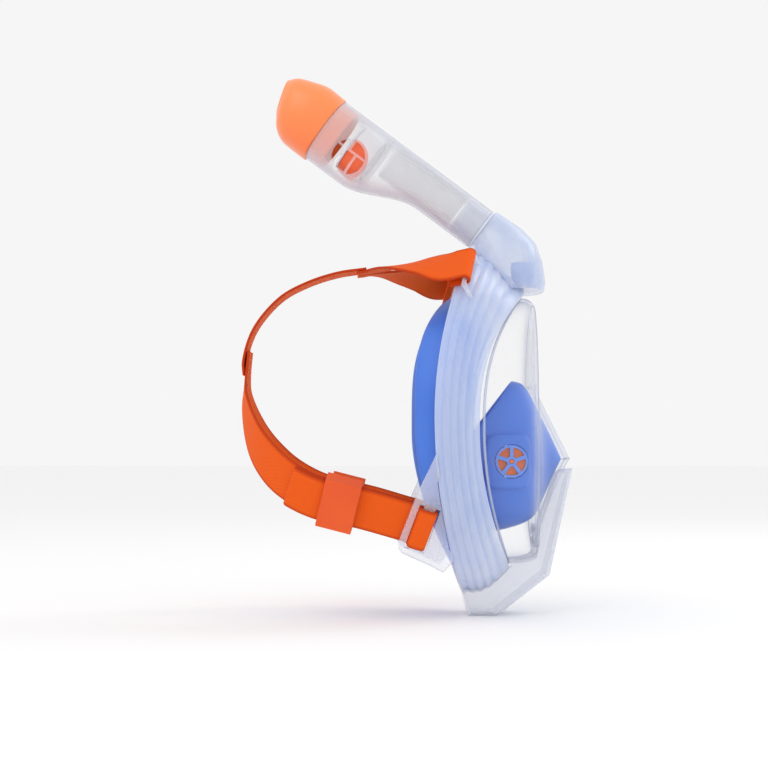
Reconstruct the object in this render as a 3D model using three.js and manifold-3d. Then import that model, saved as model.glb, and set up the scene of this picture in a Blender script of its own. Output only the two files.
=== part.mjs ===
// Full-face snorkel mask: a curved visor in an oval frame with a silicone face skirt and an inner
// nose pocket, a dry-top snorkel on a crown socket, and an elastic head harness on four anchors.
// Millimetres. +X points forward through the visor, +Y to the wearer's left, +Z up. The origin is
// in the middle of the face opening. A piece with a left and a right copy is built for the left
// side (+Y), and its right copy is mirrored in the plane Y = 0.

import * as THREE from 'three';
import { mergeVertices } from 'three/addons/utils/BufferGeometryUtils.js';
import Module from 'manifold-3d';

const wasm = await Module();
wasm.setup();

// ---- Driving dimensions ----

const fit = 0.3; // gap between pieces that touch
const fullTurn = 2 * Math.PI;
const roundSides = 24; // flats round an oval or a round tube

// An egg is an oval in a plane across X: its top, bottom and half width, how much wider it is
// above its middle than below, and how square its shoulders are (1 is a plain ellipse).
const frameEgg = { top: 112, bottom: -143, halfWidth: 92, widening: 0.11, square: 0.94 };
const visorEgg = { top: 76, bottom: -122, halfWidth: 79, widening: 0.06, square: 0.9 };
const panelEgg = { top: 68, bottom: -116, halfWidth: 50, widening: 0.06, square: 0.85 };
const sealEgg = { top: 72, bottom: -120, halfWidth: 76, widening: 0.06, square: 0.9 };
const lipEgg = { top: 56, bottom: -104, halfWidth: 62, widening: 0.06, square: 0.9 };
const pocketEgg = { top: 14, bottom: -98, halfWidth: 42, widening: -0.1, square: 0.95 };

const frame = { rearX: 8, topSweep: 29, bottomSweep: 22, wall: 3, bulge: 5 }; // rearX at mid height
const rim = { sideX: 41, topSweep: 38, bottomSweep: 26, lap: 6 }; // visor rim, and its lap in the frame
const visor = { frontX: 84.5, wall: 2.4, cornerPower: 0.72 };
// The nose ridge, as [height, how far it stands out].
const noseLine = [[-120, 1], [-90, 6], [-75, 12], [-52, 22.5], [-44, 27], [10, 0]];
const noseHalfWidth = 24;
const skirt = {
  wall: 2.2, sealX: -5, topSweep: 23, bottomSweep: 27, lipForward: 9, bellyOut: 4, flangeOut: -0.5,
};
const pocket = {
  wall: 2, rearX: 27, topSweep: 42, bottomSweep: 24, tipX: 112, tipZ: -46, taper: 1.25, gap: 3, ease: 5,
};

// Inhale valve: a wheel of five windows in a raised housing on each cheek of the pocket.
const valve = {
  x: 65.5, z: -46, radius: 12, wheel: 2.6, spokes: 5, spokeWidth: 2.6, hub: 3.6, rimWidth: 1.8,
};
const valveHouse = { rearX: 46, frontX: 79.5, lowZ: -66, highZ: -26, faceY: 44, rootY: 27, corner: 13 };
const flap = { thickness: 0.8, travel: 1.5, stud: 1.6 };

// Drain valve on the visor's lower front, under the chin guard.
const drain = { z: -101, radius: 9, rim: 2, depth: 6, bar: 1.8, travel: 1.2 };

// Chin guard: its side outline is a ring of (x, z) points from the nose tip down the front, along
// the flat chin, up the heel and back inside the frame and visor. Half widths go by height.
const chinFlat = { z: -159, frontX: 56, rearX: 35 };
const chinTip = [112.5, -51];
const chinKnee = [94.5, -129];
const chinHeel = [30.5, -140];
const chinInside = [[45, -122], [62, -104], [86, -54]];
const chinHalfWidths = [[chinFlat.z, 23], [-129, 26], [-51, 17]];
const chinGuard = { wall: 2.4, edge: 3, seat: 0.8 };
const drainSlots = { xs: [39.5, 50.5], width: 2.6, halfLength: 9 };

// Snorkel: its foot is the front edge of the socket mouth; it leans back from the vertical.
const foot = { x: 56.2, z: 142.5 };
const lean = 53.13 * Math.PI / 180;
const tube = { frontGap: 1.7, depth: 32, headDepth: 51.5, halfWidth: 23, headHalfWidth: 26, wall: 1.8 };
const tubeLength = 138;
const neck = { start: 48, end: 106 }; // where the tube widens into the float chamber
const ovalPower = 2.4; // exponent of the tube's squarish oval
const spigot = { height: 19, wall: 2 };
const gasket = { thickness: 1.5, setBack: 0.2 };
const channel = { start: 22, end: 86, halfWidth: 9.5, wall: 1.2, gap: 1.2 };
const grille = { along: 110, depth: 34.5, radius: 12.5, bar: 1.4 };
const cage = { along: 92, height: 2.4, ring: 3, bar: 3 };
const float = { height: 19, margin: 2.2, travel: 6 };
const floatSeal = { thickness: 1.8, overhang: 1 };

// Cap: rings from its joint on the tube to its slanted top, as front and rear edge points (depth
// behind the tube's front line, height above the joint) and half widths.
const capFront = [[-0.6, 0], [-1, 17], [2.6, 29], [7, 39.5], [12.5, 45]];
const capRear = [[52.8, 0], [52.6, 12], [51.8, 22], [47.5, 30], [40, 36]];
const capHalfWidths = [26.6, 26.6, 25, 20.5, 13];
const cap = { wall: 1.8, floor: 2.6, plug: 14, plugWall: 1.5 };

// Crown: rings from the snorkel mouth down to the frame's top, as front and rear edge points.
const crown = { wall: 2.6, shoulder: 3.2, proud: 1.4 };
const crownFront = [[76, 128.5], [87, 117], [92, 103], [94, 88], [93, 81]];
const crownRear = [[37.5, 110.5], [39, 106], [42, 98], [46, 90], [50, 81]];
const crownHalfWidths = [28, 31.5, 35, 37, 36];
const duct = { x: 77.5, radius: 9, wall: 1.6, lowZ: 84, highZ: 103 };
const port = { rearX: 71, frontX: 78, halfWidth: 6 };

// Harness: flat elastic webbing. A branch starts narrow where it is sewn under the centre band.
const web = { width: 32, thickness: 1.8, layer: 2.5, seamWidth: 15.6 };
const bandPath = [[-131, 18], [-131.5, 28], [-124, 52], [-105, 75], [-86, 86], [-62, 94], [-40, 97.3]];
// Anchors sit at shares of the frame's half width, so that the harness follows the frame.
const ofFrame = (share) => share * frameEgg.halfWidth;
const buckle = { x: 0.3, y: ofFrame(0.701), z: -95, slope: 0.5, droop: 18 * Math.PI / 180, thickness: 2.6 };
const slots = { rear: [-8.4, -4.8], front: [3.4, 7], low: -16.8, high: 19.8 };
const upperBar = {
  top: [36, ofFrame(0.576), 107], bottom: [29.5, ofFrame(0.853), 80], radius: 1.8, loopGap: 0.5, leg: 14,
};
const keeper = { share: 0.765, length: 26, wall: 1.8, slack: 1.3, travel: 4 };

// ---- Curves that the pieces share ----

// Point of an egg at an angle from its top, as { y, z, u } with u from 1 at the top to -1.
function eggPoint(egg, angle, grow = 0) {
  const u = Math.cos(angle);
  const s = Math.sin(angle);
  const middle = (egg.top + egg.bottom) / 2;
  const half = (egg.top - egg.bottom) / 2 + grow;
  const wide = (egg.halfWidth + grow) * (1 + egg.widening * u);
  return { y: Math.sign(s) * Math.abs(s) ** egg.square * wide, z: middle + half * u, u };
}

const frameRearX = (u) => frame.rearX + (u > 0 ? frame.topSweep : frame.bottomSweep) * u * u;
const rimX = (u) => rim.sideX + (u > 0 ? rim.topSweep * u ** 2.5 : rim.bottomSweep * u * u);
const sealX = (u) => skirt.sealX + (u > 0 ? skirt.topSweep * u ** 4 : skirt.bottomSweep * (-u) ** 1.8);
const pocketX = (u) => pocket.rearX + (u > 0 ? pocket.topSweep * u : pocket.bottomSweep * u * u);

const at = (x, p) => new THREE.Vector3(x, p.y, p.z);
const smooth = (low, high, value) => THREE.MathUtils.smoothstep(value, low, high);

// Straight-line interpolation in a list of [place, value] pairs that rises by place.
function between(pairs, place) {
  const next = pairs.findIndex((pair) => pair[0] >= place);
  if (next === 0) return pairs[0][1];
  if (next < 0) return pairs[pairs.length - 1][1];
  const [low, high] = [pairs[next - 1], pairs[next]];
  return THREE.MathUtils.mapLinear(place, low[0], high[0], low[1], high[1]);
}

const noseRise = (y, z) => between(noseLine, z) / (1 + Math.abs(y / noseHalfWidth) ** 4);

// ---- Surfaces: each takes an angle from the top and a share b from the rear edge inwards ----

// Frame: from its rear edge to its front lip, slightly bulged.
const lipGrow = fit + frame.wall;
function frameSurface(angle, b) {
  const rear = eggPoint(frameEgg, angle);
  const lip = eggPoint(visorEgg, angle, lipGrow);
  const swell = 1 + (frame.bulge / frameEgg.halfWidth) * Math.sin(Math.PI * b);
  const x = THREE.MathUtils.lerp(frameRearX(rear.u), rimX(lip.u), b);
  const y = THREE.MathUtils.lerp(rear.y, lip.y, b) * swell;
  const z = THREE.MathUtils.lerp(rear.z, lip.z, b) * swell;
  return new THREE.Vector3(x, y, z);
}

// Visor: from the rim, which laps inside the frame, round a quarter superellipse to the flat
// front panel, then over the nose to the middle of the panel.
const panelStart = 0.55; // share b at which the side has turned into the front panel
function visorSurface(angle, b) {
  const edge = eggPoint(visorEgg, angle);
  const panel = eggPoint(panelEgg, angle);
  const rimAt = rimX(edge.u) - rim.lap;
  const turn = Math.min(b / panelStart, 1) * Math.PI / 2;
  const inward = 1 - Math.max(Math.cos(turn), 0) ** visor.cornerPower;
  const forward = Math.sin(turn) ** visor.cornerPower;
  const spread = 1 - Math.max(b - panelStart, 0) / (1 - panelStart);
  const middleZ = (panelEgg.top + panelEgg.bottom) / 2;
  const y = THREE.MathUtils.lerp(edge.y, panel.y, inward) * spread;
  const z = THREE.MathUtils.lerp(THREE.MathUtils.lerp(edge.z, panel.z, inward), middleZ, 1 - spread);
  const rise = noseRise(y, z) * forward;
  return new THREE.Vector3(THREE.MathUtils.lerp(rimAt, visor.frontX, forward) + rise, y, z);
}

// Skirt: from a soft lip round the face seal to a belly inside the frame, and in to a flange
// behind the visor's rim.
function skirtSurface(angle, b) {
  const lip = eggPoint(lipEgg, angle);
  const face = eggPoint(sealEgg, angle);
  const belly = eggPoint(visorEgg, angle, skirt.bellyOut);
  const flange = eggPoint(visorEgg, angle, skirt.flangeOut);
  const flangeX = rimX(flange.u) - rim.lap - fit;
  const curve = new THREE.CatmullRomCurve3([
    at(sealX(lip.u) + skirt.lipForward, lip),
    at(sealX(face.u), face),
    at(THREE.MathUtils.lerp(flangeX, sealX(face.u), 0.5), belly),
    at(flangeX, flange),
  ]);
  return curve.getPoint(b);
}

// Nose pocket: from the edge on the face to the tip behind the visor's nose. Where it would meet
// the visor it eases over to run a gap behind it.
function pocketSurface(angle, b) {
  const edge = eggPoint(pocketEgg, angle);
  const turn = b * Math.PI / 2;
  const forward = Math.sin(turn) ** pocket.taper;
  const around = Math.max(Math.cos(turn), 0) ** (1 / pocket.taper);
  const y = edge.y * around;
  const z = THREE.MathUtils.lerp(pocket.tipZ, edge.z, around);
  const room = visor.frontX + noseRise(y, z) - visor.wall - pocket.gap;
  const x = THREE.MathUtils.lerp(pocketX(edge.u), pocket.tipX, forward);
  return new THREE.Vector3((x + room - Math.hypot(x - room, pocket.ease)) / 2, y, z);
}

// ---- Meshes from grids of points ----

// A closed mesh from points and triangles, turned so that its faces point outwards.
function closedMesh(points, triangles) {
  const positions = new Float32Array(points.flatMap((p) => [p.x, p.y, p.z]));
  const geometry = new THREE.BufferGeometry();
  geometry.setAttribute('position', new THREE.BufferAttribute(positions, 3));
  const normal = new THREE.Vector3();
  const volume = triangles.reduce((sum, [a, b, c]) => {
    normal.crossVectors(points[b], points[c]);
    return sum + points[a].dot(normal);
  }, 0);
  const order = volume > 0 ? triangles : triangles.map(([a, b, c]) => [a, c, b]);
  geometry.setIndex(order.flat());
  return geometry;
}

// Triangles between two loops of the same number of points, given their first index.
function band(first, second, count) {
  const triangles = [];
  for (let i = 0; i < count; i += 1) {
    const j = (i + 1) % count;
    triangles.push([first + i, first + j, second + j], [first + i, second + j, second + i]);
  }
  return triangles;
}

// A solid through closed loops of points. Its ends are closed by a fan about each loop's middle.
function loft(loops) {
  const count = loops[0].length;
  const points = loops.flat();
  const triangles = loops.slice(1).flatMap((_, i) => band(i * count, (i + 1) * count, count));
  const ends = [[loops[0], 0, false], [loops[loops.length - 1], (loops.length - 1) * count, true]];
  for (const [loop, start, forward] of ends) {
    const middle = loop.reduce((sum, p) => sum.add(p), new THREE.Vector3()).divideScalar(count);
    const hub = points.push(middle) - 1;
    for (let i = 0; i < count; i += 1) {
      const [a, b] = [start + i, start + (i + 1) % count];
      triangles.push(forward ? [a, b, hub] : [b, a, hub]);
    }
  }
  return closedMesh(points, triangles);
}

// A ring-shaped solid between an outer and an inner list of closed loops.
function sleeve(outer, inner) {
  return ringSolid([...outer, ...inner.slice().reverse()]);
}

// A ring-shaped solid through loops that come back to the first one.
function ringSolid(loops) {
  const count = loops[0].length;
  const next = (i) => ((i + 1) % loops.length) * count;
  return closedMesh(loops.flat(), loops.flatMap((_, i) => band(i * count, next(i), count)));
}

// Loops of a surface, moved along its normal by a distance (out is positive).
function surfaceLoops(surface, around, shares, distance) {
  const step = 1e-3;
  return shares.map((b) => Array.from({ length: around }, (_, i) => {
    const angle = (i + 0.5) / around * fullTurn;
    const point = surface(angle, b);
    if (distance === 0) return point;
    const [low, high] = b > 1 - step ? [b - step, b] : [b, b + step];
    const alongB = surface(angle, high).sub(surface(angle, low));
    const alongA = surface(angle + step, b).sub(surface(angle - step, b));
    return point.addScaledVector(alongB.cross(alongA).normalize(), distance);
  }));
}

const even = (count, from = 0, to = 1) => (
  Array.from({ length: count }, (_, i) => THREE.MathUtils.lerp(from, to, i / (count - 1)))
);

// A shell of a surface that is open at both edges: its wall grows inwards.
function openShell(surface, around, shares, wall) {
  return sleeve(surfaceLoops(surface, around, shares, 0), surfaceLoops(surface, around, shares, -wall));
}

// A shell of a surface that closes at its front: its wall grows inwards.
function domeShell(surface, around, shares, wall) {
  const outer = surfaceLoops(surface, around, shares, 0);
  return loft([...outer.reverse(), ...surfaceLoops(surface, around, shares, -wall)]);
}

// A solid that fills a surface, grown outwards by a distance.
function filled(surface, around, shares, grow) {
  const loops = surfaceLoops(surface, around, shares, grow);
  const beyond = (end, before) => end.map((p, i) => (
    p.clone().addScaledVector(p.clone().sub(before[i]).normalize(), grow)
  ));
  const last = loops.length - 1;
  return loft([beyond(loops[0], loops[1]), ...loops, beyond(loops[last], loops[last - 1])]);
}

// ---- Booleans ----

// The same shape with its shared corners joined.
function merge(geometry) {
  const bare = geometry.clone();
  bare.deleteAttribute('normal');
  bare.deleteAttribute('uv');
  return mergeVertices(bare, 1e-4);
}

function toSolid(geometry) {
  const merged = merge(geometry);
  const vertProperties = new Float32Array(merged.attributes.position.array);
  const triVerts = new Uint32Array(merged.index.array);
  return new wasm.Manifold(new wasm.Mesh({ numProp: 3, vertProperties, triVerts }));
}

function toGeometry(solid) {
  const { vertProperties, triVerts, numProp } = solid.getMesh();
  const count = vertProperties.length / numProp;
  const positions = new Float32Array(count * 3);
  for (let i = 0; i < count; i += 1) {
    positions.set(vertProperties.subarray(i * numProp, i * numProp + 3), i * 3);
  }
  const geometry = new THREE.BufferGeometry();
  geometry.setAttribute('position', new THREE.BufferAttribute(positions, 3));
  geometry.setIndex(new THREE.BufferAttribute(new Uint32Array(triVerts), 1));
  return geometry;
}

const cut = (solid, ...tools) => tools.reduce((left, tool) => left.subtract(toSolid(tool)), solid);

// ---- Simple shapes in place ----

function box(low, high) {
  const size = high.map((value, i) => value - low[i]);
  const middle = high.map((value, i) => (value + low[i]) / 2);
  return new THREE.BoxGeometry(...size).translate(...middle);
}

// A cylinder along Y, X or Z between two places on that axis.
function rod(axis, centre, radius, from, to, sides = 32) {
  const shape = new THREE.CylinderGeometry(radius, radius, to - from, sides);
  const middle = (from + to) / 2;
  if (axis === 'y') return shape.translate(centre[0], middle, centre[1]);
  if (axis === 'x') return shape.rotateZ(-Math.PI / 2).translate(middle, centre[0], centre[1]);
  return shape.rotateX(Math.PI / 2).translate(centre[0], centre[1], middle);
}

// The same shape moved by a matrix. One that mirrors it has its triangles turned round again.
function placed(geometry, matrix) {
  const copy = merge(geometry).applyMatrix4(matrix);
  if (matrix.determinant() > 0) return copy;
  const index = copy.index.array;
  for (let i = 0; i < index.length; i += 3) [index[i], index[i + 1]] = [index[i + 1], index[i]];
  return copy;
}

// The same shape on the wearer's other side.
const mirrored = (geometry) => placed(geometry, new THREE.Matrix4().makeScale(1, -1, 1));

// ---- The group and its finishes ----

const group = new THREE.Group();
const snorkel = new THREE.Group();
snorkel.position.set(foot.x, 0, foot.z);
snorkel.rotation.y = -lean;
group.add(snorkel);

const finishes = {
  clear: { color: '#e6ebf2', roughness: 0.12, metalness: 0 },
  frost: { color: '#c9d4ee', roughness: 0.3, metalness: 0 },
  blue: { color: '#3f6fd8', roughness: 0.55, metalness: 0 },
  orange: { color: '#ef4f1a', roughness: 0.5, metalness: 0 },
  shell: { color: '#ff8440', roughness: 0.35, metalness: 0 },
};

function add(name, geometry, finish, parent = group) {
  const mesh = new THREE.Mesh(geometry, new THREE.MeshStandardMaterial(finishes[finish]));
  mesh.name = name;
  parent.add(mesh);
}

function addPair(name, geometry, finish) {
  add(`${name}_left`, geometry, finish);
  add(`${name}_right`, mirrored(geometry), finish);
}

// ---- Frame, visor, skirt ----

const frameShares = even(6);
const visorShares = [0, 0.16, 0.32, 0.45, 0.55, 0.64, 0.75, 0.87, 0.98];
const shellAround = 48; // points round each of these three shells

const frameBlob = (grow) => filled(frameSurface, shellAround, frameShares, grow);
const visorBlob = (grow) => filled(visorSurface, shellAround, visorShares, grow);

// Port in the frame's top that joins the crown to the space behind the visor.
const portTool = () => box([port.rearX, -port.halfWidth, 70], [port.frontX, port.halfWidth, 130]);

function makeFrame() {
  const shell = toSolid(openShell(frameSurface, shellAround, frameShares, frame.wall));
  return toGeometry(cut(shell, portTool()));
}

// The drain looks forward out of the visor's lower front, where the visor stands out least.
const drainX = visor.frontX + noseRise(0, drain.z);
const drainRod = (radius, from, to) => rod('x', [0, drain.z], radius, drainX + from, drainX + to);

function makeVisor() {
  const shell = toSolid(domeShell(visorSurface, shellAround, visorShares, visor.wall));
  return toGeometry(cut(shell, drainRod(drain.radius + fit, -20, 20)));
}

// Drain seat: a ring in the visor's hole, with a cross at its back that stops the flap.
function makeDrainSeat() {
  const { radius, rim: thick, depth, bar } = drain;
  const reach = radius - thick / 2;
  const ring = cut(toSolid(drainRod(radius, -depth, 0)), drainRod(radius - thick, -depth - 1, 1));
  const [low, high] = [drainX - depth, drainX - depth + bar];
  const across = toSolid(box([low, -reach, drain.z - bar / 2], [high, reach, drain.z + bar / 2]));
  const upright = toSolid(box([low, -bar / 2, drain.z - reach], [high, bar / 2, drain.z + reach]));
  return toGeometry(ring.add(across).add(upright));
}

const flapBack = drain.bar + fit - drain.depth;
const drainFlap = () => drainRod(drain.radius - drain.rim - fit, flapBack, flapBack + flap.thickness);

// ---- Nose pocket and inhale valves ----

const pocketShares = [0, 0.16, 0.34, 0.5, 0.64, 0.77, 0.88, 0.96];
const pocketAround = 32;
const valveRod = (radius, from, to, sides) => rod('y', [valve.x, valve.z], radius, from, to, sides);

// A valve housing's outline, square at the rear and rounded at its lower front corner.
function houseOutline(inset) {
  const { rearX, frontX, lowZ, highZ, corner } = valveHouse;
  const outline = new THREE.Shape();
  outline.moveTo(rearX + inset, highZ - inset);
  outline.lineTo(frontX - inset, highZ - inset);
  outline.lineTo(frontX - inset, lowZ + corner);
  outline.absarc(frontX - corner, lowZ + corner, corner - inset, 0, -Math.PI / 2, true);
  outline.lineTo(rearX + inset, lowZ + inset);
  outline.closePath();
  return outline;
}

// An outline in X and Z drawn out along Y between two places.
function slab(outline, from, to, curveSegments = 8) {
  const shape = new THREE.ExtrudeGeometry(outline, { depth: to - from, bevelEnabled: false, curveSegments });
  return shape.rotateX(Math.PI / 2).translate(0, to, 0);
}

function makePocket() {
  const { rootY, faceY } = valveHouse;
  const shell = toSolid(domeShell(pocketSurface, pocketAround, pocketShares, pocket.wall));
  const inside = filled(pocketSurface, pocketAround, pocketShares, -pocket.wall / 2);
  const house = toGeometry(cut(toSolid(slab(houseOutline(0), rootY, faceY)), inside));
  const hollow = slab(houseOutline(pocket.wall), rootY - 1, faceY - pocket.wall);
  const bore = valveRod(valve.radius + fit, rootY - 1, faceY + 1);
  const joined = shell.add(toSolid(house)).add(toSolid(mirrored(house)));
  return toGeometry(cut(joined, hollow, mirrored(hollow), bore, mirrored(bore)));
}

// Valve wheel: a rim and spokes, as a disc with one window between each pair of spokes.
function makeWheel() {
  const disc = new THREE.Shape().absarc(valve.x, valve.z, valve.radius, 0, fullTurn);
  disc.holes.push(new THREE.Path().absarc(valve.x, valve.z, flap.stud + fit, 0, fullTurn));
  const [inner, outer] = [valve.hub, valve.radius - valve.rimWidth];
  for (let i = 0; i < valve.spokes; i += 1) {
    const middle = Math.PI / 2 + (i + 0.5) * fullTurn / valve.spokes;
    const halfAt = (radius) => Math.PI / valve.spokes - valve.spokeWidth / 2 / radius;
    const window = new THREE.Path();
    window.absarc(valve.x, valve.z, outer, middle - halfAt(outer), middle + halfAt(outer));
    window.absarc(valve.x, valve.z, inner, middle + halfAt(inner), middle - halfAt(inner), true);
    disc.holes.push(window);
  }
  return slab(disc, valveHouse.faceY - valve.wheel, valveHouse.faceY - 0.6, 7);
}

// The inhale flap rests on the inner face of its wheel and lifts into the pocket. Its stud slides
// in the wheel's hub.
function makeInhaleFlap() {
  const top = valveHouse.faceY - valve.wheel - fit;
  const disc = toSolid(valveRod(valve.radius - 1, top - flap.thickness, top, 24));
  const stud = valveRod(flap.stud, top - flap.thickness / 2, valveHouse.faceY - 0.4, 12);
  return toGeometry(disc.add(toSolid(stud)));
}

// ---- Chin guard ----

// A closed outline moved inwards: each corner goes to where its two moved edges meet.
function insetOutline(outline, distance) {
  const points = outline.map((p) => new THREE.Vector2(...p));
  const turning = THREE.ShapeUtils.isClockWise(points) ? -1 : 1;
  return points.map((point, i) => {
    const before = points[(i + points.length - 1) % points.length];
    const after = points[(i + 1) % points.length];
    const [into, away] = [point.clone().sub(before).normalize(), after.clone().sub(point).normalize()];
    const normals = [into, away].map((v) => new THREE.Vector2(-v.y, v.x).multiplyScalar(turning));
    const bisector = normals[0].clone().add(normals[1]).normalize();
    return point.clone().addScaledVector(bisector, distance / bisector.dot(normals[0])).toArray();
  });
}

function chinOutline() {
  const { z, frontX, rearX } = chinFlat;
  return [chinTip, chinKnee, [frontX, z], [rearX, z], chinHeel, ...chinInside];
}

// One loop of the chin guard: the outline at a share of its half width.
function chinLoop(outline, share, narrower) {
  return outline.map(([x, z]) => {
    const halfWidth = between(chinHalfWidths, z) - narrower;
    return new THREE.Vector3(x, share * halfWidth, z);
  });
}

function makeChinGuard() {
  const { wall, edge } = chinGuard;
  const outline = chinOutline();
  const slim = insetOutline(outline, edge * 0.6);
  const outer = [-1, 1].flatMap((side) => {
    const loops = [chinLoop(slim, side, 0), chinLoop(outline, side, edge)];
    return side < 0 ? loops : loops.reverse();
  });
  const hollow = insetOutline(outline, wall);
  const inner = [-1, 1].map((side) => chinLoop(hollow, side, wall + edge * 0.5));
  const guard = cut(toSolid(loft(outer)), loft(inner), frameBlob(chinGuard.seat), visorBlob(chinGuard.seat));
  const { xs, width, halfLength } = drainSlots;
  const tools = xs.map((x) => box(
    [x - width / 2, -halfLength, chinFlat.z - 1],
    [x + width / 2, halfLength, chinFlat.z + wall + 1],
  ));
  return toGeometry(cut(guard, ...tools));
}

// ---- Snorkel: in its own frame, with Z up the tube and its front line at X = -frontGap ----

const oval = (frontX, rearX, halfWidth, z, sides = roundSides) => even(sides + 1).slice(0, sides)
  .map((share) => {
    const angle = (share + 0.5 / sides) * fullTurn;
    const [c, s] = [Math.cos(angle), Math.sin(angle)];
    const across = Math.sign(c) * Math.abs(c) ** (2 / ovalPower);
    const out = Math.sign(s) * Math.abs(s) ** (2 / ovalPower);
    return new THREE.Vector3((frontX + rearX) / 2 + across * (frontX - rearX) / 2, out * halfWidth, z);
  });

function tubeLoop(along, inset) {
  const open = smooth(neck.start, neck.end, along);
  const depth = THREE.MathUtils.lerp(tube.depth, tube.headDepth, open);
  const halfWidth = THREE.MathUtils.lerp(tube.halfWidth, tube.headHalfWidth, open);
  const { frontGap } = tube;
  return oval(-frontGap - inset, -frontGap - depth + inset, halfWidth - inset, along);
}

const tubeLoops = (places, inset) => places.map((along) => tubeLoop(along, inset));
const neckPlaces = even(6, neck.start, neck.end);

function makeTube() {
  const places = [0, ...neckPlaces, tubeLength];
  const shell = toSolid(sleeve(tubeLoops(places, 0), tubeLoops(places, tube.wall)));
  return toGeometry(cut(shell, ...grilleCells()));
}

// The grille on each side: a round window crossed by one bar along the tube and bars across it.
function grilleCells() {
  const { along, depth, radius, bar } = grille;
  const [inY, outY] = [tube.headHalfWidth * 0.6, tube.headHalfWidth + 4];
  const midX = -tube.frontGap - depth;
  const bars = [
    box([midX + 3.4, inY, along - radius - 1], [midX + 3.4 + bar, outY, along + radius + 1]),
    box([midX + 3.4, inY, along + 2], [midX + radius + 1, outY, along + 2 + bar]),
    box([midX - radius - 1, inY, along - 4.6], [midX + 4, outY, along - 4.6 + bar]),
    box([midX - radius - 1, inY, along + 4.6], [midX + 4, outY, along + 4.6 + bar]),
  ];
  const window = toSolid(rod('y', [midX, along], radius, inY, outY, 28));
  const cells = toGeometry(cut(window, ...bars));
  return [cells, mirrored(cells)];
}

const joint = tubeLength + fit;

function capLoops(inset, floor) {
  return capFront.map(([frontDepth, frontUp], i) => {
    const [rearDepth, rearUp] = capRear[i];
    const [frontX, rearX] = [-tube.frontGap - frontDepth - inset, -tube.frontGap - rearDepth + inset];
    const loop = oval(frontX, rearX, capHalfWidths[i] - inset, 0);
    const lower = i === 0 ? floor : -inset * (i / (capFront.length - 1));
    for (const point of loop) {
      point.z = joint + lower + THREE.MathUtils.mapLinear(point.x, rearX, frontX, rearUp, frontUp);
    }
    return loop;
  });
}

// The cap is a hollow shell with a floor ring, and a plug that goes down inside the tube.
function makeCap() {
  const shell = cut(toSolid(loft(capLoops(0, 0))), loft(capLoops(cap.wall, cap.floor)));
  const [low, high] = [joint - cap.plug, joint + cap.floor - 1];
  const plugInset = tube.wall + fit;
  const boreInset = plugInset + cap.plugWall;
  const plug = toSolid(loft(tubeLoops([low, high], plugInset)));
  const bore = loft(tubeLoops([low - 1, joint + cap.floor + 1], boreInset));
  return toGeometry(cut(shell.add(plug), bore));
}

function makeCage() {
  const { along, height, ring, bar } = cage;
  const outerInset = tube.wall + fit;
  const places = [along, along + height];
  const solid = toSolid(sleeve(tubeLoops(places, outerInset), tubeLoops(places, outerInset + ring)));
  const [frontX, rearX] = [-tube.frontGap - outerInset - 1, -tube.frontGap - tube.headDepth + ring + 4];
  const rib = toSolid(box([rearX, -bar / 2, along], [frontX, bar / 2, along + height]));
  const inside = toSolid(loft(tubeLoops([along - 1, along + height + 1], outerInset + 0.5)));
  return toGeometry(solid.add(rib.intersect(inside)));
}

const floatStart = cage.along + cage.height + fit;
const floatTop = floatStart + float.height;
const floatPlaces = even(4, floatStart, floatTop);
const makeFloat = () => loft(floatPlaces.map((along, i) => {
  const edge = i === 0 || i === floatPlaces.length - 1 ? 1.5 : 0;
  return tubeLoop(Math.min(along, floatStart), tube.wall + float.margin + edge).map((p) => p.setZ(along));
}));

function makeFloatSeal() {
  const low = floatTop + fit;
  const inset = tube.wall + float.margin - floatSeal.overhang + 3;
  return loft([low, low + floatSeal.thickness].map((along) => (
    tubeLoop(floatStart, inset).map((p) => p.setZ(along))
  )));
}

function makeChannel() {
  const { start, end, halfWidth, wall, gap } = channel;
  const frontX = -tube.frontGap - tube.wall - gap;
  const rearX = -tube.frontGap - tube.depth + tube.wall + gap;
  const outer = toSolid(box([rearX, -halfWidth, start], [frontX, halfWidth, end]));
  const inner = box([rearX + wall, wall - halfWidth, start - 1], [frontX - wall, halfWidth - wall, end + 1]);
  return toGeometry(cut(outer, inner));
}

const mouth = -gasket.thickness - 2 * fit;
const makeGasket = () => sleeve(
  tubeLoops([mouth + fit, -fit], gasket.setBack),
  tubeLoops([mouth + fit, -fit], tube.wall),
);

// ---- Crown ----

snorkel.updateMatrixWorld();
const inRow = (geometry) => geometry.applyMatrix4(snorkel.matrixWorld);
const pointInRow = (x, z) => new THREE.Vector3(x, 0, z).applyMatrix4(snorkel.matrixWorld);

// A crown ring through a front and a rear point, as a squarish oval moved in by an inset.
function crownLoop(front, rear, halfWidth, inset, lower = 0) {
  const [a, b] = [new THREE.Vector3(front[0], 0, front[1]), new THREE.Vector3(rear[0], 0, rear[1])];
  const half = a.clone().sub(b).multiplyScalar(0.5);
  const middle = a.clone().add(b).multiplyScalar(0.5);
  const size = half.length();
  return oval(1, -1, 1, 0).map(({ x, y }) => {
    const point = middle.clone().addScaledVector(half, x * (size - inset) / size);
    return point.add(new THREE.Vector3(0, y * (halfWidth - inset), lower));
  });
}

function crownLoops(inset, drop, lift) {
  const mouthFront = pointInRow(-tube.frontGap + crown.proud, mouth - drop);
  const mouthRear = pointInRow(-tube.frontGap - tube.depth - crown.proud, mouth - drop);
  const fronts = [[mouthFront.x, mouthFront.z], ...crownFront];
  const rears = [[mouthRear.x, mouthRear.z], ...crownRear];
  const halfWidths = [tube.halfWidth + crown.proud, ...crownHalfWidths];
  return fronts.map((front, i) => {
    const raise = i === fronts.length - 1 ? lift : 0;
    return crownLoop(front, rears[i], halfWidths[i], inset, raise);
  });
}

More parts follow.
